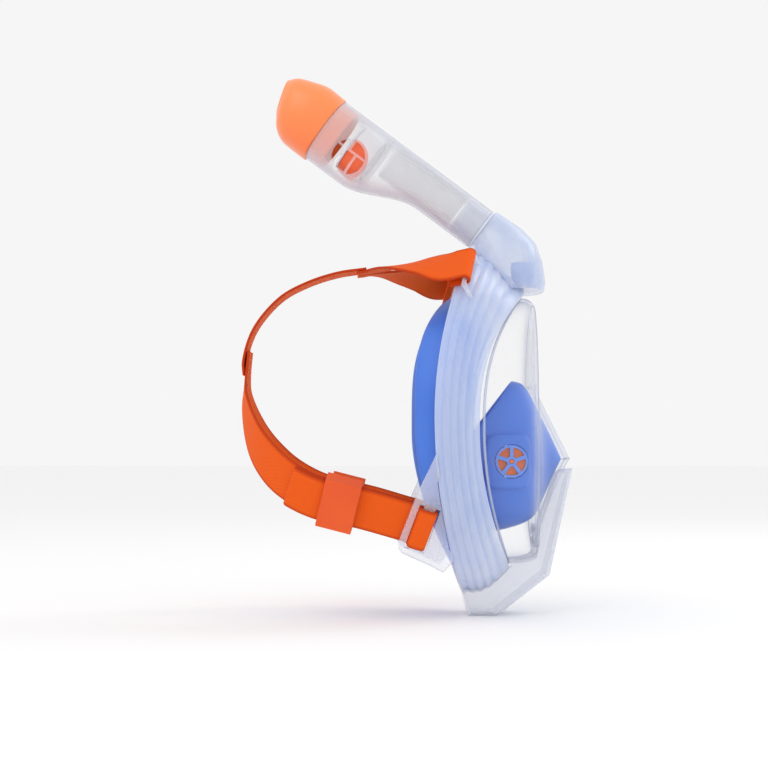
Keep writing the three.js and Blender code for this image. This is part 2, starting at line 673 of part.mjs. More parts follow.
function makeCrown() {
  const inside = loft(crownLoops(crown.wall, crown.shoulder, crown.wall));
  const shell = cut(toSolid(loft(crownLoops(0, 0, 0))), inside);
  const outerInset = tube.wall + fit;
  const [low, high] = [mouth - 1, spigot.height];
  const nozzle = toSolid(inRow(loft(tubeLoops([low, high], outerInset))));
  const bore = inRow(loft(tubeLoops([mouth - crown.shoulder - 2, high + 1], outerInset + spigot.wall)));
  return toGeometry(cut(shell.add(nozzle), bore, frameBlob(fit), visorBlob(fit)));
}

function makeDuct() {
  const { x, radius, wall, lowZ, highZ } = duct;
  const outer = toSolid(rod('z', [x, 0], radius, lowZ, highZ, roundSides));
  const bore = rod('z', [x, 0], radius - wall, lowZ - 1, highZ + 1, roundSides);
  return toGeometry(cut(outer, bore, frameBlob(fit)));
}

// ---- Harness ----

// A length of webbing through stations, each with its middle, the direction across the webbing,
// the direction out of its face, and its width.
function ribbon(stations) {
  return loft(stations.map(({ middle, across, out, width }) => (
    [[-1, -1], [1, -1], [1, 1], [-1, 1]].map(([side, face]) => middle.clone()
      .addScaledVector(across, side * width / 2)
      .addScaledVector(out, face * web.thickness / 2))
  )));
}

// Stations on a smooth path whose face turns smoothly through the given outward directions.
function stationsAlong(path, outs, shares, widthAt) {
  const curve = new THREE.CatmullRomCurve3(path);
  const facing = new THREE.CatmullRomCurve3(outs);
  return shares.map((share) => {
    const tangent = curve.getTangent(share);
    const out = facing.getPoint(share);
    out.addScaledVector(tangent, -out.dot(tangent)).normalize();
    const across = new THREE.Vector3().crossVectors(tangent, out);
    return { middle: curve.getPoint(share), across, out, width: widthAt(share) };
  });
}

const vectors = (rows) => rows.map((row) => new THREE.Vector3(...row));
const lifted = (station, layers) => ({
  ...station,
  middle: station.middle.clone().addScaledVector(station.out, layers * web.layer),
});

function makeCentreBand() {
  const curve = new THREE.CatmullRomCurve3(bandPath.map(([x, z]) => new THREE.Vector3(x, 0, z)));
  const across = new THREE.Vector3(0, 1, 0);
  return ribbon(even(22).map((share) => {
    const out = curve.getTangent(share).cross(across).negate();
    return { middle: curve.getPoint(share), across, out, width: web.width };
  }));
}

// The buckle's own directions: forward and down along the strap, up along its bars, and out.
const plane = new THREE.Vector3(0, 1, -buckle.slope).normalize();
const steep = new THREE.Vector3(0, -plane.z, plane.y);
const onward = new THREE.Vector3(Math.cos(buckle.droop), 0, 0)
  .addScaledVector(steep, -Math.sin(buckle.droop));
const barward = new THREE.Vector3(Math.sin(buckle.droop), 0, 0)
  .addScaledVector(steep, Math.cos(buckle.droop));
const buckleFrame = new THREE.Matrix4().makeBasis(onward, barward, plane)
  .setPosition(buckle.x, buckle.y, buckle.z);
const slotMiddle = (slots.low + slots.high) / 2;
const byBuckle = (forward, out) => (
  new THREE.Vector3(forward, slotMiddle, out).applyMatrix4(buckleFrame)
);

// How deep the webbing's inner layer lies under the buckle, and its way through the slots: up
// through the front slot, back over the middle bar, and down through the rear slot.
const innerLayer = -6.3;
const approach = -15;
const wrap = [
  [1, innerLayer], [3.8, -5.2], [5.2, -2.8], [5.2, 0], [4.6, 2.2], [2.6, 3], [-3.6, 3], [-5.9, 2.2],
  [-6.6, 0], [-6.9, -2.1], [-9.2, -3.6], [approach, innerLayer + web.layer],
];

// A station of the wrap: its face looks to the left of the way to its neighbours.
function wrapStations() {
  const way = [[approach, innerLayer], ...wrap, [2 * approach, innerLayer + web.layer]];
  return wrap.map(([forward, out], i) => {
    const [before, after] = [way[i], way[i + 2]];
    const step = new THREE.Vector2(after[0] - before[0], after[1] - before[1]).normalize();
    const face = onward.clone().multiplyScalar(-step.y).addScaledVector(plane, step.x);
    return { middle: byBuckle(forward, out), across: barward, out: face, width: web.width };
  });
}

const lowerPath = vectors([
  [-127.3, 8.1, 36], [-128.8, 8.7, 21], [-130.3, 14.5, 0], [-121.5, ofFrame(0.359), -30],
  [-108, ofFrame(0.522), -49], [-94, ofFrame(0.637), -60.5], [-77, ofFrame(0.699), -69.2],
  [-56, ofFrame(0.714), -75.2],
]).concat([byBuckle(-40, innerLayer), byBuckle(approach, innerLayer)]);
const lowerOuts = vectors([
  [-1, 0, 0.1], [-1, 0.02, 0], [-0.97, 0.2, -0.05], [-0.88, 0.45, -0.1], [-0.73, 0.66, -0.15],
  [-0.58, 0.78, -0.25], [-0.35, 0.86, -0.36], [-0.15, 0.88, -0.43],
]).concat([plane.clone(), plane.clone()]);
const lowerWidth = (share) => THREE.MathUtils.lerp(web.seamWidth, web.width, smooth(0.06, 0.36, share));
// Every layer has its stations at the same steps of the path, so that the layers stay parallel.
const lowerSteps = 24;
const tailFold = 14; // step where the loose end folds back
const tailEnd = 19;

function lowerStations(from, to) {
  const shares = even(Math.abs(to - from) + 1, from / lowerSteps, to / lowerSteps);
  return stationsAlong(lowerPath, lowerOuts, shares, lowerWidth);
}

// The lower webbing runs to the buckle, round its bar, back on top of itself, and its loose end
// folds over and tucks in under the keeper.
function makeLowerStrap() {
  const base = lowerStations(0, lowerSteps);
  const back = lowerStations(lowerSteps - 1, tailFold).map((station) => lifted(station, 1));
  const tail = lowerStations(tailFold, tailEnd).map((station) => lifted(station, 2));
  const [last, first] = [back[back.length - 1], tail[0]];
  const rearward = first.middle.clone().sub(tail[1].middle).normalize();
  const fold = { ...first, out: rearward };
  fold.middle = last.middle.clone().add(first.middle).multiplyScalar(0.5).addScaledVector(rearward, 2.2);
  const flip = (station) => ({ ...station, out: station.out.clone().negate(), across: station.across });
  return ribbon([...base, ...wrapStations(), ...back.map(flip), fold, ...tail]);
}

// Keeper: a rectangular loop round the three layers of webbing.
function makeKeeper() {
  const [station] = stationsAlong(lowerPath, lowerOuts, [keeper.share], lowerWidth);
  const along = new THREE.Vector3().crossVectors(station.out, station.across);
  const place = new THREE.Matrix4().makeBasis(along, station.across, station.out)
    .setPosition(lifted(station, 1).middle);
  const [halfX, halfY] = [keeper.length / 2, web.width / 2 + keeper.slack];
  const halfZ = web.layer + web.thickness / 2 + keeper.slack;
  const grown = keeper.wall;
  const outer = box([-halfX, -halfY - grown, -halfZ - grown], [halfX, halfY + grown, halfZ + grown]);
  const hole = box([-halfX - 1, -halfY, -halfZ], [halfX + 1, halfY, halfZ]);
  return placed(toGeometry(cut(toSolid(outer), hole)), place);
}

// Buckle: a flat plate behind the frame's lower rear edge, with two slots.
const buckleOutline = [
  [-10, 60.5], [-12.8, 23], [-13.4, -14], [-12, -18.5], [-8, -21.5], [14, -25], [25, -27.5],
  [29, -16.9], [17, 8], [5, 31.4],
];

function makeBuckle() {
  const outline = new THREE.Shape(buckleOutline.map((p) => new THREE.Vector2(...p)));
  const half = buckle.thickness / 2;
  const plate = new THREE.ExtrudeGeometry(outline, { depth: buckle.thickness, bevelEnabled: false });
  const tools = [slots.rear, slots.front].map(([rear, front]) => (
    box([rear, slots.low, -half - 1], [front, slots.high, half + 1])
  ));
  const solid = cut(toSolid(plate.translate(0, 0, -half)), ...tools);
  return toGeometry(cut(toSolid(placed(toGeometry(solid), buckleFrame)), frameBlob(fit)));
}

// The upper bar stands off the frame on two legs. Its strap comes over it, goes round its front
// and is sewn back under itself.
const [barTop, barBottom] = vectors([upperBar.top, upperBar.bottom]);
const barMiddle = barTop.clone().add(barBottom).multiplyScalar(0.5);
const barLine = barTop.clone().sub(barBottom).normalize();
const strapLine = new THREE.Vector3(1, 0.62, -0.03);
strapLine.addScaledVector(barLine, -strapLine.dot(barLine)).normalize();
const strapFace = new THREE.Vector3().crossVectors(strapLine, barLine).negate();

function makeUpperBar() {
  const { radius, leg } = upperBar;
  const half = web.width / 2 + 1 + radius;
  const place = new THREE.Matrix4().makeBasis(barLine, strapLine, strapFace).setPosition(barMiddle);
  const bar = toSolid(rod('x', [0, 0], radius, -half - radius, half + radius, 16));
  const legs = [-half, half].map((x) => toSolid(rod('z', [x, 0], radius, -leg, 0, 16)));
  const solid = legs.reduce((sum, piece) => sum.add(piece), bar);
  return toGeometry(cut(toSolid(placed(toGeometry(solid), place)), frameBlob(fit)));
}

const byBar = (forward, out) => barMiddle.clone()
  .addScaledVector(strapLine, forward)
  .addScaledVector(strapFace, out);
const loopRadius = upperBar.radius + upperBar.loopGap + web.thickness / 2;
const upperPath = vectors([
  [-46, 8.5, 94.2], [-36, 10, 95.8], [-22, ofFrame(0.24), 97.4], [-8, ofFrame(0.397), 97.6],
  [6, ofFrame(0.543), 96.3],
]).concat([byBar(-13, loopRadius), byBar(-1, loopRadius)]);
const upperOuts = vectors([[0, 0, 1], [0, 0.03, 1], [0, 0.15, 1], [-0.05, 0.35, 0.93], [-0.15, 0.52, 0.82]])
  .concat([strapFace.clone(), strapFace.clone()]);
const upperWidth = (share) => THREE.MathUtils.lerp(web.seamWidth, web.width, smooth(0.1, 0.55, share));

function makeUpperStrap() {
  const run = stationsAlong(upperPath, upperOuts, even(20), upperWidth);
  const across = run[run.length - 1].across;
  const arc = even(7, Math.PI / 2, -Math.PI / 2).map((angle) => {
    const [c, s] = [Math.cos(angle), Math.sin(angle)];
    const out = strapLine.clone().multiplyScalar(c).addScaledVector(strapFace, s);
    return { middle: byBar(c * loopRadius, s * loopRadius), across, out, width: web.width };
  });
  const under = [[-6, -loopRadius], [-13, -loopRadius]];
  const end = under.map(([forward, out]) => (
    { middle: byBar(forward, out), across, out: strapFace.clone().negate(), width: web.width }
  ));
  return ribbon([...run, ...arc, ...end]);
}

// ---- Assembly ----

add('frame', makeFrame(), 'frost');
add('lens', makeVisor(), 'clear');
add('face_skirt', openShell(skirtSurface, shellAround, even(7), skirt.wall), 'blue');
add('nose_pocket', makePocket(), 'blue');
add('chin_guard', makeChinGuard(), 'clear');
add('drain_seat', makeDrainSeat(), 'blue');
add('drain_flap', drainFlap(), 'blue');
add('crown_housing', makeCrown(), 'frost');
add('air_duct', makeDuct(), 'blue');
addPair('inhale_seat', makeWheel(), 'blue');
addPair('inhale_flap', makeInhaleFlap(), 'orange');

add('snorkel_tube', makeTube(), 'clear', snorkel);
add('tube_channel', makeChannel(), 'clear', snorkel);
add('tube_gasket', makeGasket(), 'frost', snorkel);
add('snorkel_cap', makeCap(), 'shell', snorkel);
add('float_cage', makeCage(), 'clear', snorkel);
add('float_block', makeFloat(), 'shell', snorkel);
add('float_seal', makeFloatSeal(), 'frost', snorkel);

add('strap_centre_band', makeCentreBand(), 'orange');
addPair('upper_strap', makeUpperStrap(), 'orange');
addPair('lower_strap', makeLowerStrap(), 'orange');
addPair('strap_keeper', makeKeeper(), 'orange');
addPair('lower_buckle', makeBuckle(), 'clear');
addPair('upper_bar', makeUpperBar(), 'clear');

export default group;
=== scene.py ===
import math

import bmesh
import bpy
import numpy as np
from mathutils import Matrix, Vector


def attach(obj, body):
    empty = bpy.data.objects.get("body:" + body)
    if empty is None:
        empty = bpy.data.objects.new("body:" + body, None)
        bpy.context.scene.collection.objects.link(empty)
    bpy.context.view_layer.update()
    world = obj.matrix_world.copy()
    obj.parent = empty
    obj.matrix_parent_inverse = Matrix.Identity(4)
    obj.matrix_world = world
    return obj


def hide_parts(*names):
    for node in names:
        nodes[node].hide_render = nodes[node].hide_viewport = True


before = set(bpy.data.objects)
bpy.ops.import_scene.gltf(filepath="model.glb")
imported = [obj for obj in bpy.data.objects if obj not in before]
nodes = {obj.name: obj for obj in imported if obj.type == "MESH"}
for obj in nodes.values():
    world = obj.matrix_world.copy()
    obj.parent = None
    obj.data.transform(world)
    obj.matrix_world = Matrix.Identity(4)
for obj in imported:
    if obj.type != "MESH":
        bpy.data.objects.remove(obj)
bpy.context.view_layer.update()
print("frame loaded:", len(nodes), "nodes")

# Lengths below are in millimetres and go to metres when a mesh is made.
# +X is forward through the visor, +Y the wearer's left, +Z up.


# The camera looks along +Y, raised by rise degrees, at the middle (metres).
cameraSet = {"middle": (-0.027, 0.0, 0.012), "distance": 1.3, "rise": -2.5, "lens": 81.25}


def makeCamera():
    data = bpy.data.cameras.new("camera")
    data.lens = cameraSet["lens"]
    data.sensor_width = 36.0
    data.clip_start, data.clip_end = 0.05, 30.0
    cam = bpy.data.objects.new("camera", data)
    bpy.context.scene.collection.objects.link(cam)
    rise = math.radians(cameraSet["rise"])
    look = Vector((0.0, math.cos(rise), -math.sin(rise)))
    cam.location = Vector(cameraSet["middle"]) - look * cameraSet["distance"]
    cam.rotation_mode = "QUATERNION"
    cam.rotation_quaternion = look.to_track_quat("-Z", "Y")
    bpy.context.scene.camera = cam


makeCamera()


def startMaterial(name):
    mat = bpy.data.materials.new(name)
    mat.use_nodes = True
    shader = mat.node_tree.nodes["Principled BSDF"]
    return mat, mat.node_tree, shader


def addNode(tree, kind, **values):
    node = tree.nodes.new(kind)
    for key, value in values.items():
        if hasattr(node, key):
            setattr(node, key, value)
        else:
            node.inputs[key].default_value = value
    return node


def ramp(tree, fac, stops):
    node = tree.nodes.new("ShaderNodeValToRGB")
    elements = node.color_ramp.elements
    while len(elements) < len(stops):
        elements.new(0.5)
    for element, (place, color) in zip(elements, stops):
        element.position = place
        element.color = (*color, 1.0) if len(color) == 3 else color
    tree.links.new(fac, node.inputs["Fac"])
    return node.outputs["Color"]


def noise(tree, coords, scale, detail=3.0, roughness=0.5):
    node = tree.nodes.new("ShaderNodeTexNoise")
    node.inputs["Scale"].default_value = scale
    node.inputs["Detail"].default_value = detail
    node.inputs["Roughness"].default_value = roughness
    tree.links.new(coords, node.inputs["Vector"])
    return node.outputs["Fac"]


def spread(tree, value, low, high, fromLow=0.0, fromHigh=1.0):
    node = tree.nodes.new("ShaderNodeMapRange")
    node.inputs["From Min"].default_value = fromLow
    node.inputs["From Max"].default_value = fromHigh
    node.inputs["To Min"].default_value = low
    node.inputs["To Max"].default_value = high
    tree.links.new(value, node.inputs["Value"])
    return node.outputs["Result"]


def bump(tree, shader, height, strength, distance):
    node = tree.nodes.new("ShaderNodeBump")
    node.inputs["Strength"].default_value = strength
    node.inputs["Distance"].default_value = distance
    tree.links.new(height, node.inputs["Height"])
    tree.links.new(node.outputs["Normal"], shader.inputs["Normal"])


def objectCoords(tree):
    return tree.nodes.new("ShaderNodeTexCoord").outputs["Object"]


def stretched(tree, coords, scale):
    node = addNode(tree, "ShaderNodeMapping", vector_type="POINT")
    node.inputs["Scale"].default_value = scale
    tree.links.new(coords, node.inputs["Vector"])
    return node.outputs["Vector"]


# Moulded rubber or plastic: base colours blotched very slightly, fine satin grain.
def mouldedMaterial(name, dark, light, rough, grain, coat=0.0, glow=0.0):
    mat, tree, shader = startMaterial(name)
    coords = objectCoords(tree)
    cloudy = noise(tree, coords, 18.0, 4.0)
    tree.links.new(ramp(tree, cloudy, [(0.3, dark), (0.7, light)]), shader.inputs["Base Color"])
    fine = noise(tree, coords, 900.0, 2.0)
    tree.links.new(spread(tree, fine, rough - 0.06, rough + 0.06), shader.inputs["Roughness"])
    bump(tree, shader, fine, grain, 0.0002)
    shader.inputs["Coat Weight"].default_value = coat
    shader.inputs["Coat Roughness"].default_value = 0.12
    shader.inputs["Subsurface Weight"].default_value = glow
    shader.inputs["Subsurface Radius"].default_value = (0.01, 0.008, 0.01)
    shader.inputs["Subsurface Scale"].default_value = 0.4
    return mat


# See-through plastic: its alpha rises towards the edges, where a real wall is seen along its
# length. Its colour also runs to the edge colour there. Where that colour is darker it is painted
# shade for the dark edges that refraction gives. On the frosted finish it is paler, a painted sheen.
# A tint lies in long streaks, and in the grooves it is deepened as painted shade.
def seeThroughMaterial(name, facing, edge, alphaFacing, alphaEdge, rough, swirl, gather, tintAndShade=None):
    mat, tree, shader = startMaterial(name)
    coords = objectCoords(tree)
    weight = tree.nodes.new("ShaderNodeLayerWeight")
    weight.inputs["Blend"].default_value = 0.35
    gathered = addNode(tree, "ShaderNodeMath", operation="POWER")
    gathered.inputs[1].default_value = gather
    tree.links.new(weight.outputs["Facing"], gathered.inputs[0])
    cloudy = noise(tree, coords, 26.0, 4.0, 0.6)
    # Painted shade and sheen: the colour goes to the edge colour as the surface turns away.
    color = ramp(tree, gathered.outputs[0], [(0.03, facing), (0.8, edge)])
    if tintAndShade is not None:
        # Amount of tint: painted shade from the groove attribute, plus long streaks.
        layer = addNode(tree, "ShaderNodeMix", data_type="RGBA")
        layer.inputs["B"].default_value = (*tintAndShade, 1.0)
        groove = addNode(tree, "ShaderNodeAttribute", attribute_name="groove")
        streaks = noise(tree, stretched(tree, coords, (30.0, 30.0, 7.0)), 1.0, 5.0, 0.6)
        tintAndShadeAmount = addNode(tree, "ShaderNodeMath", operation="MULTIPLY_ADD")
        tree.links.new(groove.outputs["Fac"], tintAndShadeAmount.inputs[0])
        tintAndShadeAmount.inputs[1].default_value = 0.38
        tree.links.new(spread(tree, streaks, 0.0, 0.5, 0.44, 0.70), tintAndShadeAmount.inputs[2])
        tree.links.new(tintAndShadeAmount.outputs[0], layer.inputs["Factor"])
        tree.links.new(color, layer.inputs["A"])
        color = layer.outputs["Result"]
    tree.links.new(color, shader.inputs["Base Color"])
    alpha = spread(tree, gathered.outputs[0], alphaFacing, alphaEdge)
    vary = spread(tree, cloudy, 1.0 - swirl, 1.0 + swirl)
    both = tree.nodes.new("ShaderNodeMath")
    both.operation = "MULTIPLY"
    both.use_clamp = True
    tree.links.new(alpha, both.inputs[0])
    tree.links.new(vary, both.inputs[1])
    tree.links.new(both.outputs[0], shader.inputs["Alpha"])
    tree.links.new(spread(tree, cloudy, max(rough - 0.05, 0.02), rough + 0.05), shader.inputs["Roughness"])
    bump(tree, shader, cloudy, 0.08, 0.0006)
    shader.inputs["IOR"].default_value = 1.5
    shader.inputs["Coat Weight"].default_value = 0.3
    shader.inputs["Coat Roughness"].default_value = 0.05
    return mat


# Elastic webbing: cross ribs and lengthwise yarns on the strap's own UV, coloured between a shade and a lit
# colour as painted shade and light across the weave, and the edges darkened as painted shade.
def webbingMaterial(name, lit, shade):
    mat, tree, shader = startMaterial(name)
    uv = tree.nodes.new("ShaderNodeUVMap")
    uv.uv_map = "strap"
    parts = tree.nodes.new("ShaderNodeSeparateXYZ")
    tree.links.new(uv.outputs["UV"], parts.inputs["Vector"])

    def wave(source, repeats):
        scaled = tree.nodes.new("ShaderNodeMath")
        scaled.operation = "MULTIPLY"
        scaled.inputs[1].default_value = repeats * 2 * math.pi
        tree.links.new(source, scaled.inputs[0])
        sine = tree.nodes.new("ShaderNodeMath")
        sine.operation = "SINE"
        tree.links.new(scaled.outputs[0], sine.inputs[0])
        return sine.outputs[0]

    yarns = wave(parts.outputs["X"], 26.0)
    ribs = wave(parts.outputs["Y"], 620.0)
    weave = tree.nodes.new("ShaderNodeMath")
    weave.operation = "MULTIPLY"
    tree.links.new(yarns, weave.inputs[0])
    tree.links.new(ribs, weave.inputs[1])
    fuzz = noise(tree, objectCoords(tree), 500.0, 3.0)
    edge = tree.nodes.new("ShaderNodeMath")
    edge.operation = "PINGPONG"
    edge.inputs[1].default_value = 0.5
    tree.links.new(parts.outputs["X"], edge.inputs[0])
    # Painted shade at the strap's edges: the shade colour x 0.72.
    edgeShade = spread(tree, edge.outputs[0], 0.0, 1.0, 0.0, 0.09)
    weaveShadeAndLight = ramp(tree, spread(tree, weave.outputs[0], 0.0, 1.0, -1.0, 1.0), [(0.0, shade), (0.75, lit)])
    mix = tree.nodes.new("ShaderNodeMix")
    mix.data_type = "RGBA"
    mix.inputs["A"].default_value = (*[c * 0.72 for c in shade], 1.0)
    tree.links.new(edgeShade, mix.inputs["Factor"])
    tree.links.new(weaveShadeAndLight, mix.inputs["B"])
    tree.links.new(mix.outputs["Result"], shader.inputs["Base Color"])
    tree.links.new(spread(tree, fuzz, 0.62, 0.85), shader.inputs["Roughness"])
    bump(tree, shader, weave.outputs[0], 0.35, 0.00025)
    shader.inputs["Specular IOR Level"].default_value = 0.2
    shader.inputs["Sheen Weight"].default_value = 0.04
    shader.inputs["Sheen Roughness"].default_value = 0.5
    shader.inputs["Sheen Tint"].default_value = (1.0, 0.35, 0.1, 1.0)
    return mat


# Orange moulding that is paler towards its top, as light comes through its thin end.
def gradientMaterial(name, low, high, lowZ, highZ, rough):
    mat, tree, shader = startMaterial(name)
    coords = objectCoords(tree)
    parts = tree.nodes.new("ShaderNodeSeparateXYZ")
    tree.links.new(coords, parts.inputs["Vector"])
    height = spread(tree, parts.outputs["Z"], 0.0, 1.0, lowZ, highZ)
    tree.links.new(ramp(tree, height, [(0.0, low), (1.0, high)]), shader.inputs["Base Color"])
    fine = noise(tree, coords, 700.0, 2.0)
    tree.links.new(spread(tree, fine, rough - 0.05, rough + 0.05), shader.inputs["Roughness"])
    bump(tree, shader, fine, 0.05, 0.0002)
    shader.inputs["Coat Weight"].default_value = 0.25
    shader.inputs["Coat Roughness"].default_value = 0.15
    return mat


# Float: pale plastic with an orange plate let into each cheek, round the grille's axis.
def cheekMaterial(name, plate, pale, axis, radius):
    mat, tree, shader = startMaterial(name)
    coords = objectCoords(tree)
    middle = addNode(tree, "ShaderNodeMapping", vector_type="POINT")
    middle.inputs["Location"].default_value = (-axis[0], 0.0, -axis[1])
    middle.inputs["Scale"].default_value = (1.0, 0.0, 1.0)
    tree.links.new(coords, middle.inputs["Vector"])
    far = addNode(tree, "ShaderNodeVectorMath", operation="LENGTH")
    tree.links.new(middle.outputs["Vector"], far.inputs[0])
    inPlate = spread(tree, far.outputs["Value"], 0.0, 1.0, radius, radius + 0.0006)
    tree.links.new(ramp(tree, inPlate, [(0.0, plate), (1.0, pale)]), shader.inputs["Base Color"])
    fine = noise(tree, coords, 800.0, 2.0)
    tree.links.new(spread(tree, fine, 0.34, 0.46), shader.inputs["Roughness"])
    bump(tree, shader, fine, 0.06, 0.0002)
    shader.inputs["Coat Weight"].default_value = 0.2
    return mat


# Each finish's values, in the order its maker function takes them.
finishes = {
    # Each see-through finish's second colour is its edge colour. It is painted shade where it is darker,
    # and a painted sheen where it is paler, as on the frost.
    "clear": seeThroughMaterial(
        "clearPlastic", (0.90, 0.91, 0.95), (0.50, 0.52, 0.66), 0.20, 0.85, 0.10, 0.3, 1.3),
    "window": seeThroughMaterial(
        "visorPlastic", (0.92, 0.94, 0.98), (0.30, 0.34, 0.50), 0.025, 0.9, 0.05, 0.1, 2.4),
    # Painted shade: a darker finish for the beads at the visor's rim and panel crease.
    "shadedEdge": seeThroughMaterial(
        "shadedEdgePlastic", (0.62, 0.68, 0.86), (0.22, 0.27, 0.46), 0.5, 0.95, 0.12, 0.2, 1.0),
    "frost": seeThroughMaterial(
        "frostedPlastic", (0.72, 0.80, 0.98), (0.90, 0.93, 1.0), 0.50, 0.92, 0.24, 0.1, 1.0,
        (0.40, 0.55, 0.95)),
    "crown": seeThroughMaterial(
        "crownPlastic", (0.80, 0.86, 0.98), (0.66, 0.73, 0.92), 0.34, 0.92, 0.14, 0.3, 1.0,
        (0.42, 0.57, 0.95)),
    "guard": seeThroughMaterial(
        "guardPlastic", (0.86, 0.89, 0.97), (0.60, 0.64, 0.80), 0.26, 0.85, 0.16, 0.25, 1.2),
    "silicone": mouldedMaterial(
        "blueSilicone", (0.048, 0.175, 0.68), (0.066, 0.215, 0.77), 0.42, 0.12, 0.0, 0.1),
    "bluePlastic": mouldedMaterial("bluePlastic", (0.09, 0.26, 0.84), (0.12, 0.31, 0.90), 0.3, 0.06, 0.2),
    "flap": mouldedMaterial("orangeSilicone", (0.86, 0.13, 0.012), (0.92, 0.17, 0.02), 0.4, 0.08),
    "keeper": mouldedMaterial("orangeKeeper", (0.80, 0.080, 0.003), (0.86, 0.105, 0.005), 0.5, 0.15),
    "float": cheekMaterial(
        "floatPlastic", (0.93, 0.13, 0.03), (0.86, 0.84, 0.86), (-0.0535, 0.1795), 0.0145),
    "softClear": mouldedMaterial(
        "clearSilicone", (0.72, 0.76, 0.86), (0.78, 0.82, 0.90), 0.4, 0.08, 0.0, 0.1),
    "cap": gradientMaterial("orangeCap", (0.96, 0.17, 0.03), (1.0, 0.30, 0.09), 0.17, 0.24, 0.34),
    "webbing": webbingMaterial("orangeWebbing", (0.94, 0.140, 0.006), (0.72, 0.055, 0.002)),
}
print("materials made:", len(finishes))


# Quads between loops i and i + 1 of a grid of rows x columns points, closed round each loop.
def gridFaces(rows, columns, closeRows=False):
    last = rows if closeRows else rows - 1
    i, j = np.meshgrid(np.arange(last), np.arange(columns), indexing="ij")
    a = (i % rows) * columns + j
    b = (i % rows) * columns + (j + 1) % columns
    c = ((i + 1) % rows) * columns + (j + 1) % columns
    d = ((i + 1) % rows) * columns + j
    return np.stack([a, b, c, d], -1).reshape(-1, 4)


# Six times the volume inside a mesh: the sum of a . (b x c) over its triangles.
def signedVolume(points, quads, tris):
    triangles = np.concatenate([quads[:, [0, 1, 2]], quads[:, [0, 2, 3]], tris]) if len(tris) else (
        np.concatenate([quads[:, [0, 1, 2]], quads[:, [0, 2, 3]]]))
    a, b, c = (points[triangles[:, k]] for k in range(3))
    return float((a * np.cross(b, c)).sum())


# A closed mesh through loops, an array of loops x points x 3. The two end loops are joined to
# each other, or each is closed by a fan about its middle.
def loopMesh(name, loops, ring=False, uv=None):
    rows, columns = loops.shape[:2]
    points = loops.reshape(-1, 3)
    quads = gridFaces(rows, columns, ring)
    tris = np.zeros((0, 3), int)
    if not ring:
        hubs = np.stack([loops[0].mean(0), loops[-1].mean(0)])
        j = np.arange(columns)
        after = (j + 1) % columns
        first = np.stack([after, j, np.full(columns, len(points))], -1)
        base = (rows - 1) * columns
        second = np.stack([base + j, base + after, np.full(columns, len(points) + 1)], -1)
        tris = np.concatenate([first, second])
        points = np.concatenate([points, hubs])
    if signedVolume(points, quads, tris) < 0:
        quads, tris = quads[:, ::-1], tris[:, ::-1]
    mesh = bpy.data.meshes.new(name)
    mesh.from_pydata((points / 1000.0).tolist(), [], quads.tolist() + tris.tolist())
    mesh.polygons.foreach_set("use_smooth", np.ones(len(mesh.polygons), bool))
    if uv is not None:
        flat = uv.reshape(-1, 2)
        if not ring:
            flat = np.concatenate([flat, flat[:1], flat[-1:]])
        layer = mesh.uv_layers.new(name="strap")
        corners = np.zeros(len(mesh.loops), int)
        mesh.loops.foreach_get("vertex_index", corners)
        layer.data.foreach_set("uv", flat[corners].astype(np.float32).ravel())
    mesh.update()
    return mesh


def place(name, mesh, finish, body, cadNodes, slotName):
    obj = bpy.data.objects.new(name, mesh)
    bpy.context.scene.collection.objects.link(obj)
    mesh.materials.append(finishes[finish])
    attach(obj, body)
    if cadNodes:
        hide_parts(*cadNodes)
    return obj


def sharpen(mesh, degrees):
    work = bmesh.new()
    work.from_mesh(mesh)
    limit = math.radians(degrees)
    for edge in work.edges:
        edge.smooth = len(edge.link_faces) < 2 or edge.calc_face_angle(0.0) < limit
    work.to_mesh(mesh)
    work.free()


# The other side's copy: Y turned over and each face's corners reversed.
def mirrorMesh(mesh, name):
    copy = mesh.copy()
    copy.name = name
    copy.flip_normals()
    co = np.zeros(len(copy.vertices) * 3, np.float32)
    copy.vertices.foreach_get("co", co)
    co = co.reshape(-1, 3) * np.array([1, -1, 1], np.float32)
    copy.vertices.foreach_set("co", co.ravel())
    copy.update()
    return copy


# A finished copy of a hard CAD piece: corners joined, flats made whole, edges rounded.
def finishedCopy(node, finish, body, slotName, rounding, angle=32):
    source = nodes[node].data
    mesh = bpy.data.meshes.new(node + "Piece")
    work = bmesh.new()
    work.from_mesh(source)
    bmesh.ops.remove_doubles(work, verts=work.verts, dist=2e-6)
    bmesh.ops.dissolve_limit(work, angle_limit=math.radians(0.8), verts=work.verts, edges=work.edges)
    bmesh.ops.recalc_face_normals(work, faces=work.faces)
    limit = math.radians(angle)
    for edge in work.edges:
        edge.smooth = edge.calc_face_angle(0.0) < limit
    for face in work.faces:
        face.smooth = True
    work.to_mesh(mesh)
    work.free()
    mesh.update()
    obj = place(node + "Piece", mesh, finish, body, [node], slotName)
    if rounding:
        bevel = obj.modifiers.new("rounding", "BEVEL")
        bevel.width = rounding / 1000.0
        bevel.segments = 2
        bevel.limit_method = "ANGLE"
        bevel.angle_limit = limit
        bevel.use_clamp_overlap = True
        bevel.harden_normals = False
    return obj


turn = 2 * np.pi
eggs = {
    "frame": (112, -143, 92, 0.11, 0.94),
    "visor": (76, -122, 79, 0.06, 0.9),
    "panel": (68, -116, 50, 0.06, 0.85),
    "seal": (72, -120, 76, 0.06, 0.9),
    "lip": (56, -104, 62, 0.06, 0.9),
    "pocket": (14, -98, 42, -0.1, 0.95),
}


